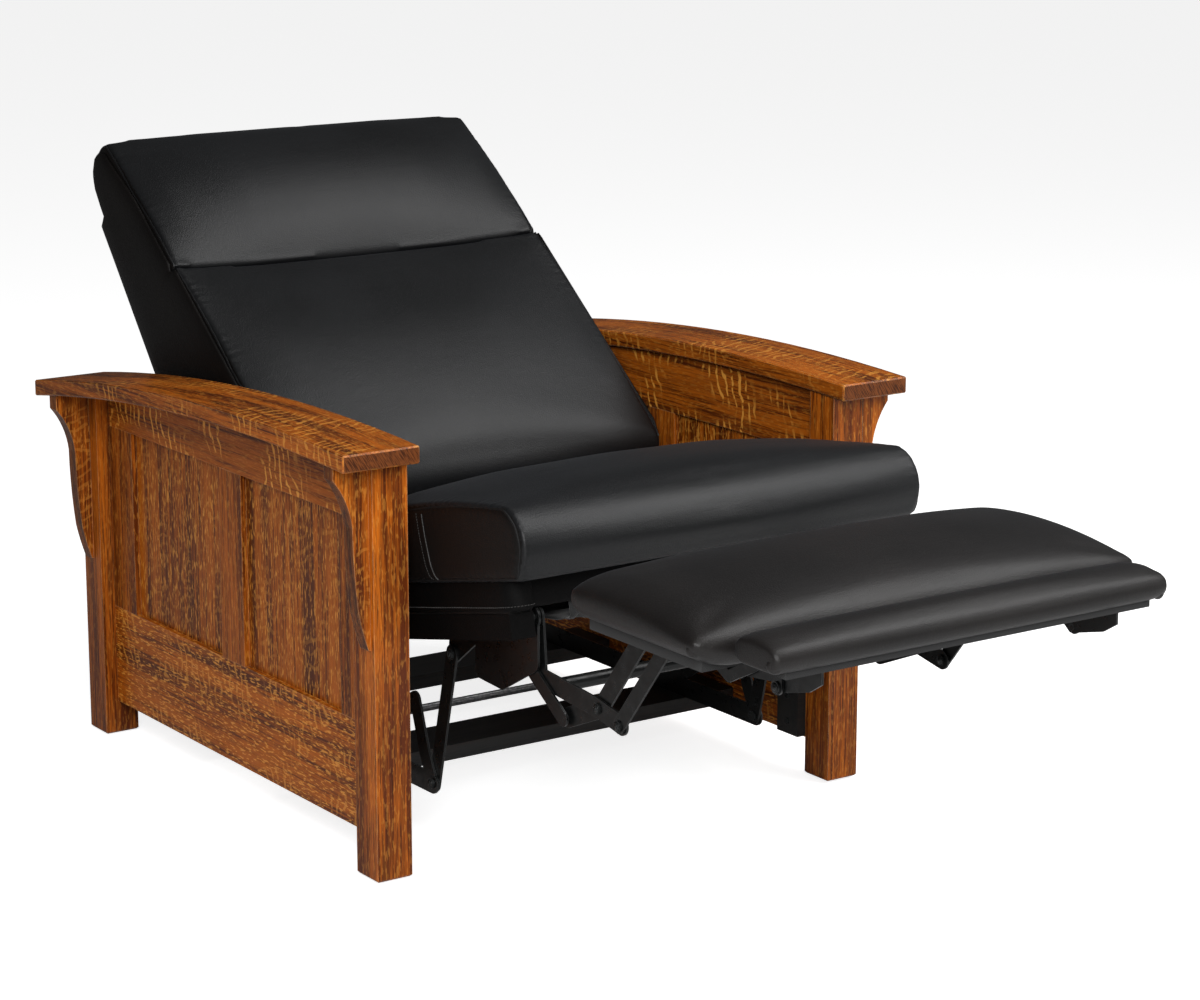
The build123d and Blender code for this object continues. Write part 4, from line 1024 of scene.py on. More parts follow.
# A lighter, glossier copy of the black leather for the welts and the outside back's piping: painted
# highlight along the cords.
WELT_LEATHER_PAINTED_HIGHLIGHT = LeatherFinish("welt_leather", tinted(0.005, 0.005, 0.0054),
                             tinted(0.008, 0.008, 0.0085), roughness=0.34, sheen=0.0)
# A much lighter copy of the black leather for the seat's rear piping: painted highlight along the cord.
PIPING_LEATHER_PAINTED_HIGHLIGHT = LeatherFinish("piping_leather", tinted(0.014, 0.013, 0.013),
                               tinted(0.022, 0.021, 0.02), roughness=0.32, sheen=0.0)
THREAD = ClothFinish("seam_thread", tinted(0.016, 0.015, 0.014))
STEEL = PaintedSteelFinish("painted_steel")
ZINC = BareMetalFinish("zinc_plate", tinted(0.33, 0.33, 0.34), roughness=0.34)
BLACK_PIN = PaintedSteelFinish("black_rivets", tinted(0.012, 0.013, 0.013), rub=0.6,
                               roughness=0.24)
DARK_CLOTH = ClothFinish("black_cloth", tinted(0.0042, 0.0042, 0.0045))
HIDDEN_WOOD = SoftwoodFinish("hidden_rails", tinted(0.16, 0.09, 0.045), tinted(0.4, 0.27, 0.15),
                             Grain.CROSSWISE)
BLACK_WOOD = SoftwoodFinish("black_rails", tinted(0.006, 0.006, 0.006),
                            tinted(0.013, 0.0125, 0.012), Grain.CROSSWISE)
GLIDE = PlasticFinish("glide_plastic", tinted(0.06, 0.05, 0.045))


@dataclass
class SideFrames:
    """The two panelled oak side frames with their bowed arms, corbels and glides."""

    # Each board's grain, place in the figure, fleck, mottle, pores, tone and wear.
    boards: tuple = (
        ("front_leg", Grain.UPRIGHT, 0.0, 0.0, 0.25, 1.25, 1.12, 0.7),
        ("rear_leg", Grain.UPRIGHT, 1.0, 0.0, 0.2, 1.1, 0.9, 0.6),
        ("bottom_rail", Grain.LENGTHWISE, 2.0, 0.45, 0.95, 0.6, 0.96, 0.5),
        ("top_rail", Grain.LENGTHWISE, 3.3, 1.0, 0.25, 0.75, 0.9, 0.4),
        ("stiles", Grain.UPRIGHT, 4.0, 0.0, 0.35, 0.95, 0.92, 0.5),
        ("panels", Grain.UPRIGHT, 5.0, 0.2, 0.85, 0.55, 0.86, 0.2),
        ("arm", Grain.LENGTHWISE, 6.0, 0.55, 0.35, 0.9, 0.86, 0.85),
        ("corbels", Grain.UPRIGHT, 8.0, 0.2, 0.4, 0.9, 0.95, 0.6))
    first_place: float = 3.0
    next_frame: float = 7.0

    def build(self, shop: Workshop) -> None:
        """Dress each board with its own figure."""
        for number, hand in enumerate(("left", "right")):
            start = self.first_place + number * self.next_frame
            for board, grain, place, *amounts in self.boards:
                shop.dress(f"{hand}_{board}",
                           OakFinish(f"{hand}_{board}_oak", grain, start + place, *amounts))
            arm, corbels = f"{hand}_arm", f"{hand}_corbels"
            self.second_finish(shop, arm, EndGrainFinish(arm + "_end_grain", seed=0.4), lowest=0.9)
            sawn = OakFinish(corbels + "_sawn_edge", Grain.UPRIGHT, seed=2.0, fleck=0.0, mottle=0.3,
                             pores=1.2, tone=0.42, wear=0.6)
            self.second_finish(shop, corbels, sawn, highest=0.5)
        shop.dress("leg_glides", GLIDE)

    @staticmethod
    def second_finish(shop: Workshop, node: str, style: Style, lowest: float = -1.0,
                      highest: float = 2.0) -> None:
        """Give a second finish to the faces that face forwards or backwards by so much."""
        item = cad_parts[node]
        item.data.materials.append(shop.finish(style))
        for face in item.data.polygons:
            if lowest < abs(face.normal.y) < highest:
                face.material_index = 1


# How full a crowned cushion is, from its middle, 0, out to its end, 1.
CROWN_STATIONS = ((0.0, 1.0), (0.5, 0.9), (0.86, 0.56), (1.0, 0.16))
SEWN_END_REACH = 7.0
HOLD_FADE = 8.0
END_FACING = 0.8
END_BAND = 5.0


def sewn_ends(local: np.ndarray, width: float) -> np.ndarray:
    """Return 1 for places at a cushion's two ends, falling off towards its middle."""
    return np.exp(-((width / 2 - np.abs(local[:, 0])) / SEWN_END_REACH) ** 2)


class CushionShape:
    """A cushion's closed form: an outline at each station across the chair."""

    def __init__(self, name: str, width: float, stations: Sequence[tuple[float, ...]],
                 section: Callable[..., np.ndarray], space: Tilted, edge_radius: float = 0.0,
                 flat_below: float = 0.0, along: float = 1.0) -> None:
        """Keep the half form's stations, from the middle out, and the frame that it lies in."""
        self.along = along
        self.edge_radius = edge_radius
        self.flat_below = flat_below
        self.name = name
        self.width = width
        self.stations = stations
        self.section = section
        self.space = space

    def rings(self, count: int = 25) -> np.ndarray:
        """Return the outlines, drawn smoothly between the stations, in the frame's millimetres."""
        shares = np.array([s[0] for s in self.stations])
        values = np.array([s[1:] for s in self.stations])
        spots = np.sin(np.linspace(-1, 1, count) * math.pi / 2)
        rings = []
        for spot in spots:
            here = [np.interp(abs(spot), shares, values[:, k]) for k in range(values.shape[1])]
            ring = self.eased(self.section(*here), (1 - abs(spot)) * self.width / 2)
            rings.append(np.column_stack([np.full(len(ring), spot * self.width / 2), ring]))
        return np.array(rings)

    def eased(self, ring: np.ndarray, from_end: float) -> np.ndarray:
        """Draw an outline in where it lies on the rounded edge of the end face."""
        radius = self.edge_radius
        if from_end >= radius:
            return ring
        inset = radius - math.sqrt(radius ** 2 - (radius - from_end) ** 2)
        inward = ring.mean(0) - ring
        inward /= np.linalg.norm(inward, axis=1, keepdims=True)
        inward[:, 0] *= self.along
        share = np.clip((ring[:, 1] - self.flat_below) / 20.0, 0, 1)[:, None]
        return ring + inward * inset * share

    def form(self) -> bpy.types.Object:
        """Return the closed form as an object."""
        rings = self.rings()
        rows = self.space.out(rings.reshape(-1, 3))
        return new_piece(self.name, rows, loops_to_faces(rings.shape[0], rings.shape[1]))

    def end_path(self, hand: int, first: int, last: int, inset: float = 0.0) -> np.ndarray:
        """Return part of the end outline as a path.

        Args:
            hand: -1 for the near side or 1 for the far side.
            first: The outline point that the path starts at.
            last: The outline point that it ends at; past the outline's end it runs on round.
            inset: How far the path lies towards the middle, in millimetres.

        Returns:
            The path in model metres.
        """
        ring = self.rings()[-1 if hand > 0 else 0].copy()
        ring[:, 0] = hand * (self.width / 2 - inset)
        return self.space.out(ring[np.arange(first, last + 1) % len(ring)])


@dataclass
class SeatCushion:
    """The boxed seat cushion with its rolled front and its D-shaped side panels."""

    width: float = 622.0
    length: float = 524.0
    edge: float = 95.0
    crown: float = 34.0
    nose_back: float = 33.0
    roll_under: float = 24.0
    rear_drop: float = 12.0
    stations: tuple = CROWN_STATIONS
    side_rear: tuple = ((-301.0, 88.0), (-303.0, 58.0), (-308.0, 25.0), (-318.0, 2.0))

    def section(self, full: float) -> np.ndarray:
        """Return the section in the seat's frame."""
        nose = -(self.length - self.nose_back)
        corners = [(0.0, 0.0), (-(self.length - self.roll_under), 0.0), (nose, self.edge),
                   (-30.0, self.edge - self.rear_drop)]
        bulges = [None, (-self.length, self.edge * 0.62),
                  (-self.length / 2, self.edge + 3.0 + self.crown * full), (-0.6, self.edge / 2)]
        return outline(corners, bulges)

    def held(self, rows: np.ndarray) -> np.ndarray:
        """Return how firmly each place is sewn or rests."""
        local = SEAT_FRAME.into(rows)
        under = np.clip((12.0 - local[:, 2]) / HOLD_FADE, 0, 1)
        rear = np.clip((local[:, 1] + 45.0) / 25.0, 0, 1)
        return np.maximum.reduce([sewn_ends(local, self.width), under, rear])

    def keep(self, rows: np.ndarray) -> np.ndarray:
        """Hold the cushion between the arms and on its deck."""
        local = SEAT_FRAME.into(rows)
        half = self.width / 2
        local[:, 0] = np.clip(local[:, 0], -half - 3, half + 3)
        local[:, 2] = np.maximum(local[:, 2], -0.5)
        local[:, 1] = np.clip(local[:, 1], -self.length - 6, 0)
        return SEAT_FRAME.out(local)

    def build(self, shop: Workshop) -> None:
        """Make the cushion, its seams and its piping."""
        shape = CushionShape("seat_cushion_leather", self.width, self.stations, self.section,
                             SEAT_FRAME, edge_radius=9.0)
        piece = shape.form()
        Stuffing(voxel=6.0, start=5.0, rounds=4).fill(piece, self.held, self.keep)
        piece.data.materials.append(shop.finish(BLACK_LEATHER))
        piece.data.materials.append(shop.finish(DARK_LEATHER))
        paint_ends(piece, self.width)
        seams = [Seam(shape.end_path(hand, 0, 63, inset=2.0), depth=2.4, width=4.0, pucker=0.35)
                 for hand in (-1, 1)]
        Stuffing.sew(piece, seams)
        shop.set_out(piece, "seat", ("seat_cushion",))
        for hand, word in SIDES:
            # A dark cord along each side seam: painted shade in the groove.
            border = snapped(shape.end_path(hand, 4, 46), piece, lift=0.1)
            shop.cord(f"seat_side_seam_{word}", border, "seat", SEAM_GROOVE_SHADE_LEATHER,
                      radius=1.3)
            rear = np.array([(hand * self.width / 2, *spot) for spot in self.side_rear])
            rear_path = snapped(SEAT_FRAME.out(rear), piece, lift=0.4)
            # The rear piping's lighter leather is a painted highlight.
            shop.cord(f"seat_side_piping_{word}", rear_path, "seat",
                      PIPING_LEATHER_PAINTED_HIGHLIGHT, radius=1.0)
            behind = rear + np.array([0.0, 13.0, 0.0])
            laid = snapped(SEAT_FRAME.out(behind), piece, lift=0.3)
            shop.stitch(f"seat_boxing_stitches_{word}", laid, "seat",
                        pitch=0.0034, thickness=0.00045)


def paint_ends(piece: bpy.types.Object, width: float) -> None:
    """Give the faces on a cushion's two ends its second leather."""
    for face in piece.data.polygons:
        if abs(face.normal.x) > END_FACING and abs(face.center.x) > (width / 2 - END_BAND) * MM:
            face.material_index = 1


@dataclass
class BackCushions:
    """The lumbar cushion and the head pillow that rolls over the top of the back."""

    width: float = 604.0
    rear: float = -76.0
    edge: float = 62.0
    lumbar: float = 447.0
    stations: tuple = CROWN_STATIONS

    def lumbar_section(self, full: float) -> np.ndarray:
        """Return the lumbar cushion's section in the back's frame."""
        face, crease = self.rear + self.edge, self.rear + self.edge - 18.0 * full
        corners = [(30.0, self.rear), (self.lumbar, self.rear), (self.lumbar, crease),
                   (43.0, face - 6.5)]
        crest = (self.lumbar / 2, face + 20.0 * full)
        return outline(corners, [None, None, crest, (17.0, -50.0)])

    def head_section(self, full: float) -> np.ndarray:
        """Return the head pillow's section in the back's frame."""
        start, rest, crease = self.lumbar + 0.6, 636.6, self.rear + self.edge - 18.0 * full
        top = (700.0 + 9.0 * full, -24.0 + 4.5 * full)
        corners = [(start, self.rear), (rest, self.rear), (rest, -108.0), (713.0, -58.0), top,
                   (start, crease)]
        crest = ((start + top[0]) / 2, (top[1] - 14.0) / 2 + 27.0 * full + 0.6)
        brow = (709.5 + 4.5 * full, -40.0)
        return outline(corners, [None, None, (690.0, -98.0), brow, crest, None], 14)

    def held(self, rows: np.ndarray) -> np.ndarray:
        """Return how firmly each place is sewn or rests."""
        local = BACK_FRAME.into(rows)
        behind = np.clip((self.rear + 12.0 - local[:, 2]) / HOLD_FADE, 0, 1) * (local[:, 1] < 640)
        crease = np.exp(-((local[:, 1] - self.lumbar) / HOLD_FADE) ** 2)
        return np.maximum.reduce([sewn_ends(local, self.width), behind, crease])

    def keep(self, rows: np.ndarray) -> np.ndarray:
        """Hold the cushions clear of the panel behind them and of each other."""
        local = BACK_FRAME.into(rows)
        half = self.width / 2
        local[:, 0] = np.clip(local[:, 0], -half - 2, half + 2)
        on_panel = (local[:, 1] < 634) & (local[:, 2] < self.rear + 0.5)
        local[on_panel, 2] = self.rear + 0.5
        return BACK_FRAME.out(local)

    def build(self, shop: Workshop) -> None:
        """Make both cushions with their welts."""
        for name, section, first, last, folds, edge in (
                ("lumbar_cushion", self.lumbar_section, 32, 50, 0.3, 8.0),
                ("head_pillow", self.head_section, 26, 71, 0.2, 10.0)):
            shape = CushionShape(name + "_leather", self.width, self.stations, section, BACK_FRAME,
                                 edge_radius=edge, flat_below=self.rear, along=0.0)
            piece = shape.form()
            Stuffing(voxel=6.0, start=2.0, rounds=3, cap=8.0).fill(piece, self.held, self.keep)
            piece.data.materials.append(shop.finish(BLACK_LEATHER))
            piece.data.materials.append(shop.finish(DARK_LEATHER))
            paint_ends(piece, self.width)
            seams = [Seam(shape.end_path(hand, first, last, inset=2.0), depth=1.8, width=3.6,
                          pucker=folds) for hand in (-1, 1)]
            Stuffing.sew(piece, seams)
            shop.set_out(piece, "back", (name,))
            for hand, word in SIDES:
                welt = snapped(shape.end_path(hand, first, last), piece, lift=0.3)
                # The welt's lighter leather is a painted highlight.
                shop.cord(f"{name}_welt_{word}", welt, "back", WELT_LEATHER_PAINTED_HIGHLIGHT,
                          radius=1.3)


@dataclass
class Footrest:
    """The main footrest pad and the small folding pad in front of it."""

    rear: float = -334.0
    length: float = 268.0
    width: float = 666.0
    underside: float = 405.0
    hinge_gap: float = 4.5
    flipper_length: float = 84.0
    flipper_width: float = 584.0
    flipper_underside: float = 420.0
    pad_full: float = 78.0
    flip_full: float = 40.0
    # Each station's share of the half width, then the section's inset, low, rear, middle and
    # front as shares of the full height.
    wide: tuple = ((0.0, 0.0, 0.0, 0.9, 1.0, 0.7), (0.55, 0.0, 0.0, 0.88, 0.97, 0.68),
                   (0.86, 0.0, 0.03, 0.8, 0.87, 0.62), (0.95, 0.05, 0.14, 0.73, 0.77, 0.57),
                   (1.0, 0.14, 0.35, 0.62, 0.64, 0.5))
    slim: tuple = ((0.0, 0.0, 0.0, 0.95, 1.04, 0.88), (0.6, 0.0, 0.0, 0.95, 1.03, 0.88),
                   (0.94, 0.0, 0.02, 0.92, 0.98, 0.86), (1.0, 0.07, 0.08, 0.84, 0.89, 0.8))
    tuck_width: float = 11.0
    tuck_depth: float = 8.0
    tuck_height: float = 10.0
    tuck_sunk: float = 10.0
    tuck_drop: float = 4.0
    tuck_folds: int = 5
    fold_depth: float = 0.11

    def pad_section(self, length: float, full: float) -> Callable[..., np.ndarray]:
        """Return a section maker for one pad that lies towards the front."""
        def section(drawn: float, low: float, rear: float, middle: float,
                    front: float) -> np.ndarray:
            """Return one section of the pad."""
            inset, low_z, rear_z, front_z = drawn * full, low * full, rear * full, front * full
            corners = [(-(inset + 15), low_z), (-(length - inset - 15), low_z),
                       (-(length - inset - 17), front_z), (-(inset + 17), rear_z)]
            bulges = [None, (-(length - inset), (low_z + front_z) / 2),
                      (-length / 2, middle * full), (-inset, (low_z + rear_z) / 2)]
            return outline(corners, bulges)
        return section

    def build(self, shop: Workshop) -> None:
        """Make both pads."""
        self.pad(shop, "ottoman_pad", "ottoman", Tilted((self.rear, self.underside + 2.0), 0.0),
                 self.width, self.wide, self.pad_section(self.length, self.pad_full),
                 sewn_up_to=16.0, voxel=5.0, rounds=12)
        front = self.rear - self.length - self.hinge_gap
        self.pad(shop, "flipper_pad", "flipper", Tilted((front, self.flipper_underside), 0.0),
                 self.flipper_width, self.slim, self.pad_section(self.flipper_length,
                                                                 self.flip_full),
                 sewn_up_to=8.0, voxel=4.0, rounds=5)

    def pad(self, shop: Workshop, node: str, body: str, space: Tilted, width: float,
            stations: tuple, section: Callable[..., np.ndarray], sewn_up_to: float,
            voxel: float, rounds: int) -> None:
        """Make one stuffed pad, whose rim is sewn down to a height above its board."""
        piece = CushionShape(node + "_leather", width, stations, section, space).form()

        def held(rows: np.ndarray) -> np.ndarray:
            """Hold the rim that wraps under the board."""
            return np.clip((sewn_up_to - space.into(rows)[:, 2]) / HOLD_FADE, 0, 1)

        def keep(rows: np.ndarray) -> np.ndarray:
            """Keep the pad within its width and above its board."""
            local = space.into(rows)
            local[:, 0] = np.clip(local[:, 0], -width / 2 - 2, width / 2 + 2)
            local[:, 2] = np.maximum(local[:, 2], 0.0)
            return space.out(local)

        Stuffing(voxel, start=0.5, rounds=rounds, pressure=2.0, cap=3.0).fill(piece, held, keep)
        piece.data.materials.append(shop.finish(FOOT_LEATHER))
        shop.set_out(piece, body, (node,))
        self.corner_tucks(shop, piece, body, width, space)

    def corner_tucks(self, shop: Workshop, pad: bpy.types.Object, body: str, width: float,
                     space: Tilted) -> None:
        """Gather the leather into a rounded tuck at each front corner of a pad."""
        rows = space.into(vertices_of(pad.data))
        for hand, word in SIDES:
            reach = rows @ np.array([hand * 0.78, -0.62, -0.1])
            tip = rows[int(np.argmax(reach))]
            self.tuck(shop, pad.name.replace("_pad_leather", f"_tuck_{word}"), body, hand,
                      space.out(tip[None])[0])

    def tuck(self, shop: Workshop, name: str, body: str, hand: int, tip: np.ndarray) -> None:
        """Make one tuck: a small swelling with folds that gather at its foot."""
        outward = np.array([hand * 0.62, -0.78, 0.0])
        along = np.array([hand * 0.78, 0.62, 0.0])
        rings, around = 11, 36
        made = []
        for r in range(rings):
            polar = math.pi * (0.02 + 0.96 * r / (rings - 1))
            for a in range(around):
                turn = math.tau * a / around
                crease = max(0.0, math.cos(turn * self.tuck_folds)) ** 3
                fold = 1.0 - self.fold_depth * crease * math.sin(polar) ** 2
                spot = (along * math.sin(polar) * math.cos(turn) * self.tuck_width
                        + outward * math.sin(polar) * math.sin(turn) * self.tuck_depth * fold)
                spot = spot * fold + np.array([0, 0, math.cos(polar) * self.tuck_height])
                made.append(tip - outward * self.tuck_sunk * MM + np.array(
                    [0, 0, -self.tuck_drop * MM]) + spot * MM)
        piece = new_piece(name, np.array(made), loops_to_faces(rings, around),
                          shop.finish(FOOT_LEATHER))
        refine(piece)
        shop.set_out(piece, body)


@dataclass
class SeatBox:
    """The seat's rails, webbing, deck and dark band, and the leather apron over the side rails."""

    half_box: float = 294.0
    apron_gap: float = 2.5
    apron_wall: float = 3.5
    apron_top: float = 6.0
    apron_bottom: float = -37.0
    front: float = -466.0
    rear: float = -14.0
    return_to: float = 268.0
    corner: float = 22.0
    stitch_rise: float = 6.0
    border_front: float = -453.0
    border_half: float = 270.0
    border_top: float = 4.0
    border_bottom: float = -36.0
    cloth_half: float = 205.0
    cloth_front: float = -447.0
    cloth_run: float = 200.0
    cloth_top: float = -30.0
    cloth_drop: float = 19.0

    def build(self, shop: Workshop) -> None:
        """Dress the box and hang the apron."""
        for node in ("seat_side_rails", "seat_front_rail", "seat_rear_rail"):
            shop.dress(node, BLACK_WOOD)
        shop.dress("seat_webbing", DARK_CLOTH)
        shop.dress("seat_deck", DARK_CLOTH)
        # The band's near-black leather is painted shade under the cushion.
        shop.dress("seat_band", APRON_LEATHER_PAINTED_SHADE)
        for hand, word in SIDES:
            self.apron(shop, hand, word)
        self.front_border(shop)
        # A dark sheet under the cushion front: painted shade.
        self.dust_cloth(shop)

    def front_border(self, shop: Workshop) -> None:
        """Close the front under the cushion with a padded strip of the apron's leather, darkened as painted
        shade.
        """
        around, along = 16, 60
        rows = []
        for i in range(along):
            x = (i / (along - 1) - 0.5) * 2 * self.border_half
            ripple = 0.7 * math.sin(x / 31.0) + 0.5 * math.sin(x / 13.0 + 1.0)
            for a in range(around):
                turn = math.tau * a / around
                middle = (self.border_top + self.border_bottom) / 2
                half = (self.border_top - self.border_bottom) / 2
                rows.append((x, self.border_front + 3.0 * math.cos(turn) + ripple,
                             middle + half * math.copysign(abs(math.sin(turn)) ** 0.6,
                                                           math.sin(turn))))
        # The strip's near-black leather is painted shade under the cushion front.
        piece = new_piece("seat_front_border", SEAT_FRAME.out(np.array(rows)),
                          loops_to_faces(along, around), shop.finish(APRON_LEATHER_PAINTED_SHADE))
        shop.set_out(piece, "seat")

    def dust_cloth(self, shop: Workshop) -> None:
        """Hang the crumpled black cloth between the front rail and the webbing, as painted shade under the
        cushion front.
        """
        across, along = 84, 30
        rng = np.random.default_rng(29)
        waves = [(rng.uniform(18, 70), rng.uniform(0, math.tau),
                  rng.uniform(-0.6, 0.6)) for _ in range(9)]
        rows = []
        for j in range(along):
            share = j / (along - 1)
            y = self.cloth_front + self.cloth_run * max(0.0, share - 0.3) / 0.7
            sag = self.cloth_drop * min(share / 0.3, 1.0) + 7.0 * math.sin(math.pi * share)
            for i in range(across):
                x = (i / (across - 1) - 0.5) * 2 * self.cloth_half
                crumple = sum(
                    math.sin((x + lean * 90 * share) / pitch * math.tau + phase + share * 5)
                    for pitch, phase, lean in waves) / 3.2
                rise = crumple * 5.0 * math.sin(math.pi * min(share * 1.5, 1.0)) ** 0.7
                rows.append((x, y + 2.0 * crumple * share, self.cloth_top - sag + rise))
        piece = new_piece("seat_dust_cloth", SEAT_FRAME.out(np.array(rows)),
                          grid_faces(along, across), shop.finish(DARK_CLOTH))
        wall = piece.modifiers.new("thickness", "SOLIDIFY")
        wall.thickness = 1.2 * MM
        settle(piece)
        shop.set_out(piece, "seat")

    def plan(self, hand: int, outwards: float) -> np.ndarray:
        """Return the apron's line seen from above, from the rear, round the corner and inwards."""
        side_x = self.half_box + self.apron_gap + outwards
        front_y = self.front - outwards
        turns = np.linspace(0.0, math.pi / 2, 7)
        bend = np.column_stack([side_x - self.corner + self.corner * np.cos(turns),
                                front_y + self.corner - self.corner * np.sin(turns)])
        spots = np.linspace(self.rear, front_y + self.corner, 30)[:-1]
        straight = np.column_stack([np.full(len(spots), side_x), spots])
        line = np.vstack([straight, bend, [[self.return_to, front_y]]])
        line[:, 0] *= hand
        return line

    def apron(self, shop: Workshop, hand: int, word: str) -> None:
        """Hang the apron on one side, with a stitched hem."""
        heights = np.linspace(self.apron_top, self.apron_bottom, 9)
        sway = np.random.default_rng(11 + hand)
        phases = sway.uniform(0, math.tau, 3)
        walls = []
        for outwards in (self.apron_wall, 0.0):
            rows = []
            for height in heights:
                line = self.plan(hand, outwards)
                along = np.r_[0, np.cumsum(np.linalg.norm(np.diff(line, axis=0), axis=1))]
                drop = (self.apron_top - height) / (self.apron_top - self.apron_bottom)
                wave = np.sin(along / 47 + phases[0]) + 0.6 * np.sin(along / 21 + phases[1])
                line = line + np.column_stack([hand * wave * 1.1 * drop, np.zeros(len(line))])
                bulge = 1.6 * math.sin(math.pi * min(drop * 1.15, 1.0))
                line[:, 0] += hand * bulge * (1 if outwards else 0.4)
                rows.append(np.column_stack([line, np.full(len(line), height)]))
            walls.append(rows)
        ring = walls[0] + walls[1][::-1]
        count = len(ring[0])
        rows = SEAT_FRAME.out(np.vstack(ring))
        faces = []
        for r in range(len(ring)):
            nxt = (r + 1) % len(ring)
            for i in range(count - 1):
                faces.append([r * count + i, r * count + i + 1, nxt * count + i + 1,
                              nxt * count + i])
        for end in (0, count - 1):
            faces.append([r * count + end for r in range(len(ring))])
        # The apron's near-black leather is painted shade under the cushion.
        piece = new_piece(f"seat_apron_{word}", rows, faces, shop.finish(APRON_LEATHER_PAINTED_SHADE))
        refine(piece)
        shop.set_out(piece, "seat")
        hem = np.column_stack([self.plan(hand, self.apron_wall + 1.2),
                               np.full(count, self.apron_bottom + self.stitch_rise)])
        laid = snapped(SEAT_FRAME.out(hem), piece, lift=0.25)
        shop.stitch(f"apron_hem_stitches_{word}", laid, "seat",
                    pitch=0.0042, thickness=0.00055)


@dataclass
class BackShell:
    """The back's inner frame, its leather sides and its leather outside."""

    half_width: float = 303.0
    skin: float = 2.0
    puff: float = 5.0
    outside_low: Point = (104.0, -258.4)
    outside_high: Point = (634.0, -132.5)
    outside_puff: float = 6.0
    reach: tuple = ((62.0, -21.0), (440.0, -18.5), (444.0, -31.0), (451.0, -31.0), (456.0, -25.0),
                    (585.0, -24.0), (692.0, -36.0), (705.0, -48.0), (709.5, -63.0), (702.0, -84.0),
                    (685.0, -98.0), (655.0, -108.0), (640.0, -112.0), (637.0, -130.0),
                    (386.0, -188.0), (110.0, -254.0), (94.0, -251.0), (14.0, -108.0),
                    (15.0, -78.0), (22.0, -56.0), (40.0, -30.0))

    def build(self, shop: Workshop) -> None:
        """Dress the shell and cover its sides."""
        for node in ("back_side_panels", "outside_back"):
            shop.dress(node, DARK_LEATHER)
        # The foot panel's near-black leather is painted shade under the seat.
        shop.dress("back_foot_panel", APRON_LEATHER_PAINTED_SHADE)
        for node in ("back_bottom_rail", "back_stiles"):
            shop.dress(node, HIDDEN_WOOD)
        shop.dress("back_top_rail", BLACK_WOOD)
        shop.dress("back_brackets", STEEL)
        for hand, word in SIDES:
            self.side_cover(shop, hand, word)
        self.outside_cover(shop)

    def outside_cover(self, shop: Workshop) -> None:
        """Stretch a padded panel over the outside of the back and pipe its edges."""
        count = 40
        grid = np.linspace(0.0, 1.0, count)
        low, high = np.array(self.outside_low), np.array(self.outside_high)
        lean = (high - low) / np.linalg.norm(high - low)
        outward = np.array([lean[1], -lean[0]])
        outward *= -np.sign(outward[1])
        rows = []
        for layer_depth in (0.0, 1.0):
            for v in grid:
                for u in grid:
                    rise = 4 * u * (1 - u) * 4 * v * (1 - v)
                    puff = layer_depth * (1.2 + self.outside_puff * rise ** 0.35) - 1.0
                    spot = low + (high - low) * (0.006 + 0.988 * v) + outward * puff
                    rows.append(((u - 0.5) * 2 * (self.half_width - 2.0), *spot))
        faces = []
        for quad in grid_faces(count, count):
            faces += [quad, [k + count * count for k in quad][::-1]]
        rim = ([i for i in range(count)] + [j * count + count - 1 for j in range(1, count)]
               + [(count - 1) * count + i for i in range(count - 2, -1, -1)]
               + [j * count for j in range(count - 2, 0, -1)])
        for a, b in zip(rim, rim[1:] + rim[:1]):
            faces.append([a, b, b + count * count, a + count * count])
        points = BACK_FRAME.out(np.array(rows))
        piece = new_piece("outside_back_leather", points, faces, shop.finish(DARK_LEATHER))
        shop.set_out(piece, "back")
        edge = points[np.array(rim) + count * count]
        # The piping's lighter leather is a painted highlight.
        shop.cord("outside_back_piping", edge, "back", WELT_LEATHER_PAINTED_HIGHLIGHT,
                  radius=1.9, closed=True)

    def side_cover(self, shop: Workshop, hand: int, word: str) -> None:
        """Stretch the padded leather over one side of the back."""
        edge = dense(np.column_stack([np.zeros(len(self.reach) + 1),
                                      np.array([*self.reach, self.reach[0]])]), 9.0)[:-1, 1:]
        spine = np.column_stack([np.clip(edge[:, 0] * 0.92 + 20, 90, 620),
                                 np.interp(edge[:, 0], [0, 120, 640, 720], [-95, -130, -72, -66])])
        rings = []
        for inwards, out in ((0.0, 0.0), (0.0, self.skin), (0.03, self.skin + self.puff * 0.3),
                             (0.10, self.skin + self.puff * 0.58),
                             (0.25, self.skin + self.puff * 0.85),
                             (0.5, self.skin + self.puff), (0.8, self.skin + self.puff)):
            spots = edge + (spine - edge) * inwards
            rings.append(np.column_stack([np.full(len(edge), hand * (self.half_width - 1.0 + out)),
                                          spots]))
        rows = BACK_FRAME.out(np.vstack(rings))
        count = len(edge)
        faces = loops_to_faces(len(rings), count, False) + [list(range(count))[::-1]]
        piece = new_piece(f"back_side_leather_{word}", rows, faces, shop.finish(DARK_LEATHER))
        top = bmesh.new()
        top.from_mesh(piece.data)
        top.verts.ensure_lookup_table()
        rim = [e for e in top.edges if e.is_boundary]
        bmesh.ops.triangle_fill(top, use_beauty=True, use_dissolve=False, edges=rim)
        bmesh.ops.recalc_face_normals(top, faces=top.faces)
        top.to_mesh(piece.data)
        top.free()
        shade_smooth(piece.data)
        shop.set_out(piece, "back")


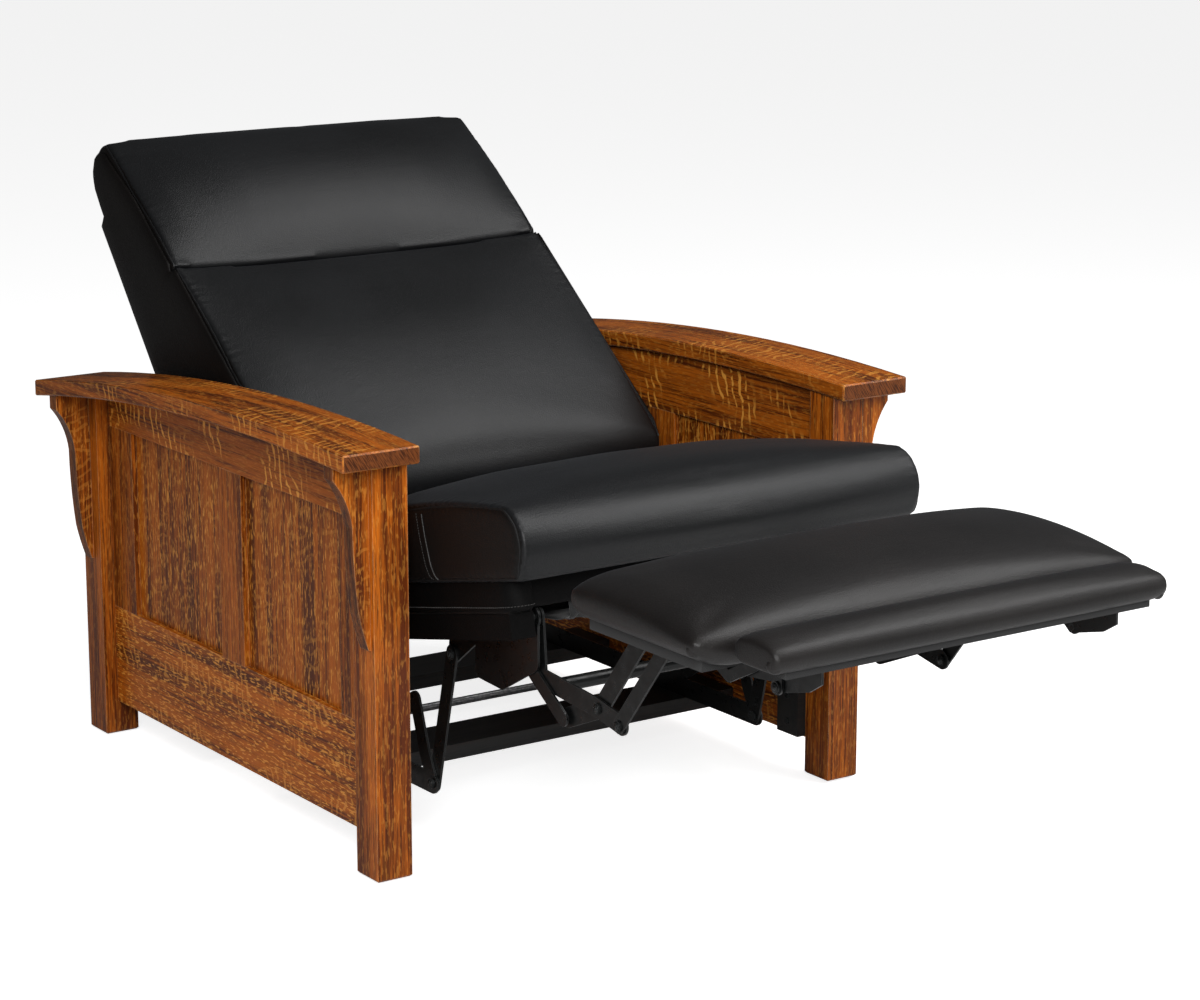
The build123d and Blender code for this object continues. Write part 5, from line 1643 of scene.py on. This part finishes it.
@dataclass
class Linkage:
    """The black steel base, swing links and footrest links, with their rivet heads."""

    base: Point = (68.0, 94.0)
    swing: Point = (-45.0, 183.0)
    spacing: float = 290.0
    lower: Point = (-158.0, 366.0)
    crossing: Point = (-130.0, -85.0)
    knee: Point = (-48.0, -9.0)
    tail: Point = (71.0, -30.0)
    upper: Point = (-87.0, 109.0)
    hinge: Point = (-227.0, -10.0)
    back: Point = (330.0, 392.0)
    bolts: tuple = (-150.0, -30.0)

    def build(self, shop: Workshop) -> None:
        """Dress the plates and pins."""
        for node in ("left_base_plate", "right_base_plate", "front_swing_links", "rear_swing_links",
                     "left_seat_plate", "right_seat_plate", "ottoman_lower_links",
                     "ottoman_tie_tube", "lower_follower_links", "ottoman_upper_links",
                     "upper_follower_links", "flipper_links", "ottoman_brackets",
                     "flipper_brackets"):
            shop.dress(node, STEEL)
        for node in ("front_base_rail", "rear_base_rail", "front_blocks"):
            shop.dress(node, BLACK_WOOD)
        for node in ("base_fasteners", "seat_fasteners", "ottoman_fasteners"):
            shop.dress(node, BLACK_PIN)
        shop.dress("rear_cross_rod", ZINC)
        for node in ("ottoman_board", "flipper_board"):
            shop.dress(node, DARK_CLOTH)
        self.heads(shop)

    def heads(self, shop: Workshop) -> None:
        """Dome the rivets on both faces of the plates and set nuts on the bolts."""
        def moved(place: Point, step: Point) -> Point:
            """Return a place moved by a step."""
            return (place[0] + step[0], place[1] + step[1])

        seat_pivot = moved(self.base, self.swing)
        rear_seat_pivot = moved(seat_pivot, (self.spacing, 0.0))
        follower = moved(self.lower, self.tail)
        crossing = moved(self.lower, self.crossing)
        knee = moved(crossing, self.knee)
        tail = moved(crossing, self.tail)
        ottoman_rear = moved(crossing, self.upper)
        ottoman_front = moved(knee, self.upper)
        hinge = moved(ottoman_rear, self.hinge)
        rivets = {
            "frame": [(self.base, 265.7, 1)],
            "seat": [(seat_pivot, 262.1, 1), (seat_pivot, 250.5, -1), (rear_seat_pivot, 262.1, 1),
                     (rear_seat_pivot, 250.5, -1), (self.lower, 258.5, 1), (self.lower, 243.3, -1),
                     (follower, 258.5, 1), (self.back, 258.5, 1)],
            "lower_link": [(crossing, 251.3, 1), (crossing, 239.7, -1), (knee, 254.9, 1),
                           (knee, 243.3, -1)],
            "lower_follower": [(tail, 239.7, -1)],
            "ottoman": [(ottoman_rear, 218.5, -1), (ottoman_front, 218.5, -1), (hinge, 226.5, 1)],
        }
        for body, places in rivets.items():
            piece = shop.heads.grow(f"{body}_rivet_domes", *self.mirrored(places),
                                    shop.finish(BLACK_PIN), radius=0.0062, height=0.0014)
            shop.set_out(piece, body)
        strip = SEAT_FRAME.out(np.array([(0.0, y, -50.0) for y in self.bolts]))
        bolts = [((row[1] / MM + ORIGIN_BEHIND_FRONT, row[2] / MM), 252.4, -1) for row in strip]
        rod = [((self.base[0] + self.spacing, self.base[1]), 265.4, 1)]
        for name, body, places, radius, height in (
                ("seat_plate_nuts", "seat", bolts, 0.0052, 0.0034),
                ("cross_rod_nuts", "frame", rod, 0.0066, 0.0036)):
            piece = shop.nuts.grow(name, *self.mirrored(places), shop.finish(ZINC), radius=radius,
                                   height=height)
            shop.set_out(piece, body)

    @staticmethod
    def mirrored(places: Sequence[tuple]) -> tuple[np.ndarray, list, np.ndarray]:
        """Return points without edges, and their directions, on both sides.

        Args:
            places: A side-view place, its distance from the middle and 1 for outwards or -1 for
                inwards, in each row.
        """
        rows, facing = [], []
        for (y, z), distance, outwards in places:
            for hand in (-1, 1):
                rows.append((hand * distance * MM, (y - ORIGIN_BEHIND_FRONT) * MM, z * MM))
                facing.append((hand * outwards, 0.0, 0.0))
        return np.array(rows), [], np.array(facing)


@dataclass
class Studio:
    """The pale floor, the soft lights and the camera."""

    eye: tuple = (-2.36205, -3.35110 - 0.112, 1.41313)
    yaw: float = 0.6032
    pitch: float = 0.2300
    lens: float = 97.688
    shift: tuple = (0.0038, -0.0037)
    air: float = 0.07
    floor_glow: float = 0.82
    # Each lamp's name, place, aim, size and power.
    lamps: tuple = (("key_softbox", (-2.3, -3.3, 2.7), (0.0, -0.2, 0.45), 2.0, 175.0),
                    ("top_softbox", (1.5, -1.1, 3.0), (0.0, 0.0, 0.5), 2.1, 74.0),
                    ("fill_softbox", (2.6, -3.0, 1.7), (0.0, 0.0, 0.4), 1.6, 18.0))

    def build(self) -> None:
        """Set the room up."""
        bpy.ops.mesh.primitive_plane_add(size=80.0, location=(0, 0, -0.0005))
        floor = bpy.context.object
        floor.name = "studio_floor"
        paint = bpy.data.materials.new("studio_floor_paint")
        paint.use_nodes = True
        graph = Graph(paint.node_tree)
        seen = graph.add("ShaderNodeLightPath").outputs["Is Camera Ray"]
        shader = paint.node_tree.nodes["Principled BSDF"]
        graph.feed(shader.inputs["Base Color"], tinted(0.82, 0.82, 0.82))
        graph.feed(shader.inputs["Roughness"], 0.8)
        graph.feed(shader.inputs["Specular IOR Level"], 0.1)
        graph.feed(shader.inputs["Emission Color"], tinted(1.0, 1.0, 1.0))
        graph.feed(shader.inputs["Emission Strength"],
                   graph.math("MULTIPLY", seen, self.floor_glow))
        floor.data.materials.append(paint)
        world = bpy.data.worlds.new("studio_air")
        world.use_nodes = True
        sky = Graph(world.node_tree)
        background = world.node_tree.nodes["Background"]
        background.inputs[0].default_value = tinted(1.0, 1.0, 1.0)
        seen = sky.add("ShaderNodeLightPath").outputs["Is Camera Ray"]
        sky.feed(background.inputs[1], sky.ease(seen, 0.0, 1.0, self.air, 1.0))
        bpy.context.scene.world = world
        bpy.context.scene.view_settings.view_transform = "Standard"
        bpy.context.scene.view_settings.look = "None"
        for lamp in self.lamps:
            self.light(*lamp)
        self.camera()

    def light(self, name: str, at: tuple, to: tuple, size: float, power: float) -> None:
        """Hang one soft area light."""
        data = bpy.data.lights.new(name, "AREA")
        data.shape, data.size, data.energy = "SQUARE", size, power
        lamp = bpy.data.objects.new(name, data)
        lamp.location = at
        lamp.rotation_euler = (Vector(to) - Vector(at)).to_track_quat("-Z", "Y").to_euler()
        bpy.context.scene.collection.objects.link(lamp)

    def camera(self) -> None:
        """Stand the camera where the photograph was taken from."""
        data = bpy.data.cameras.new("camera")
        data.lens, data.sensor_width = self.lens, 36.0
        data.shift_x, data.shift_y = self.shift
        data.clip_end = 120.0
        camera = bpy.data.objects.new("camera", data)
        camera.location = self.eye
        camera.rotation_euler = (math.pi / 2 - self.pitch, 0.0, -self.yaw)
        bpy.context.scene.collection.objects.link(camera)
        bpy.context.scene.camera = camera


def main() -> None:
    """Build the chair piece by piece and report what was made."""
    logging.basicConfig(level=logging.INFO, format="%(name)s: %(message)s")
    Studio().build()
    shop = Workshop()
    for assembly in (SideFrames(), SeatBox(), BackShell(), Linkage(), SeatCushion(), BackCushions(),
                     Footrest()):
        LOG.info("building %s", type(assembly).__name__)
        assembly.build(shop)
    LOG.info("%d pieces made", shop.made)


if __name__ == "__main__":
    main()
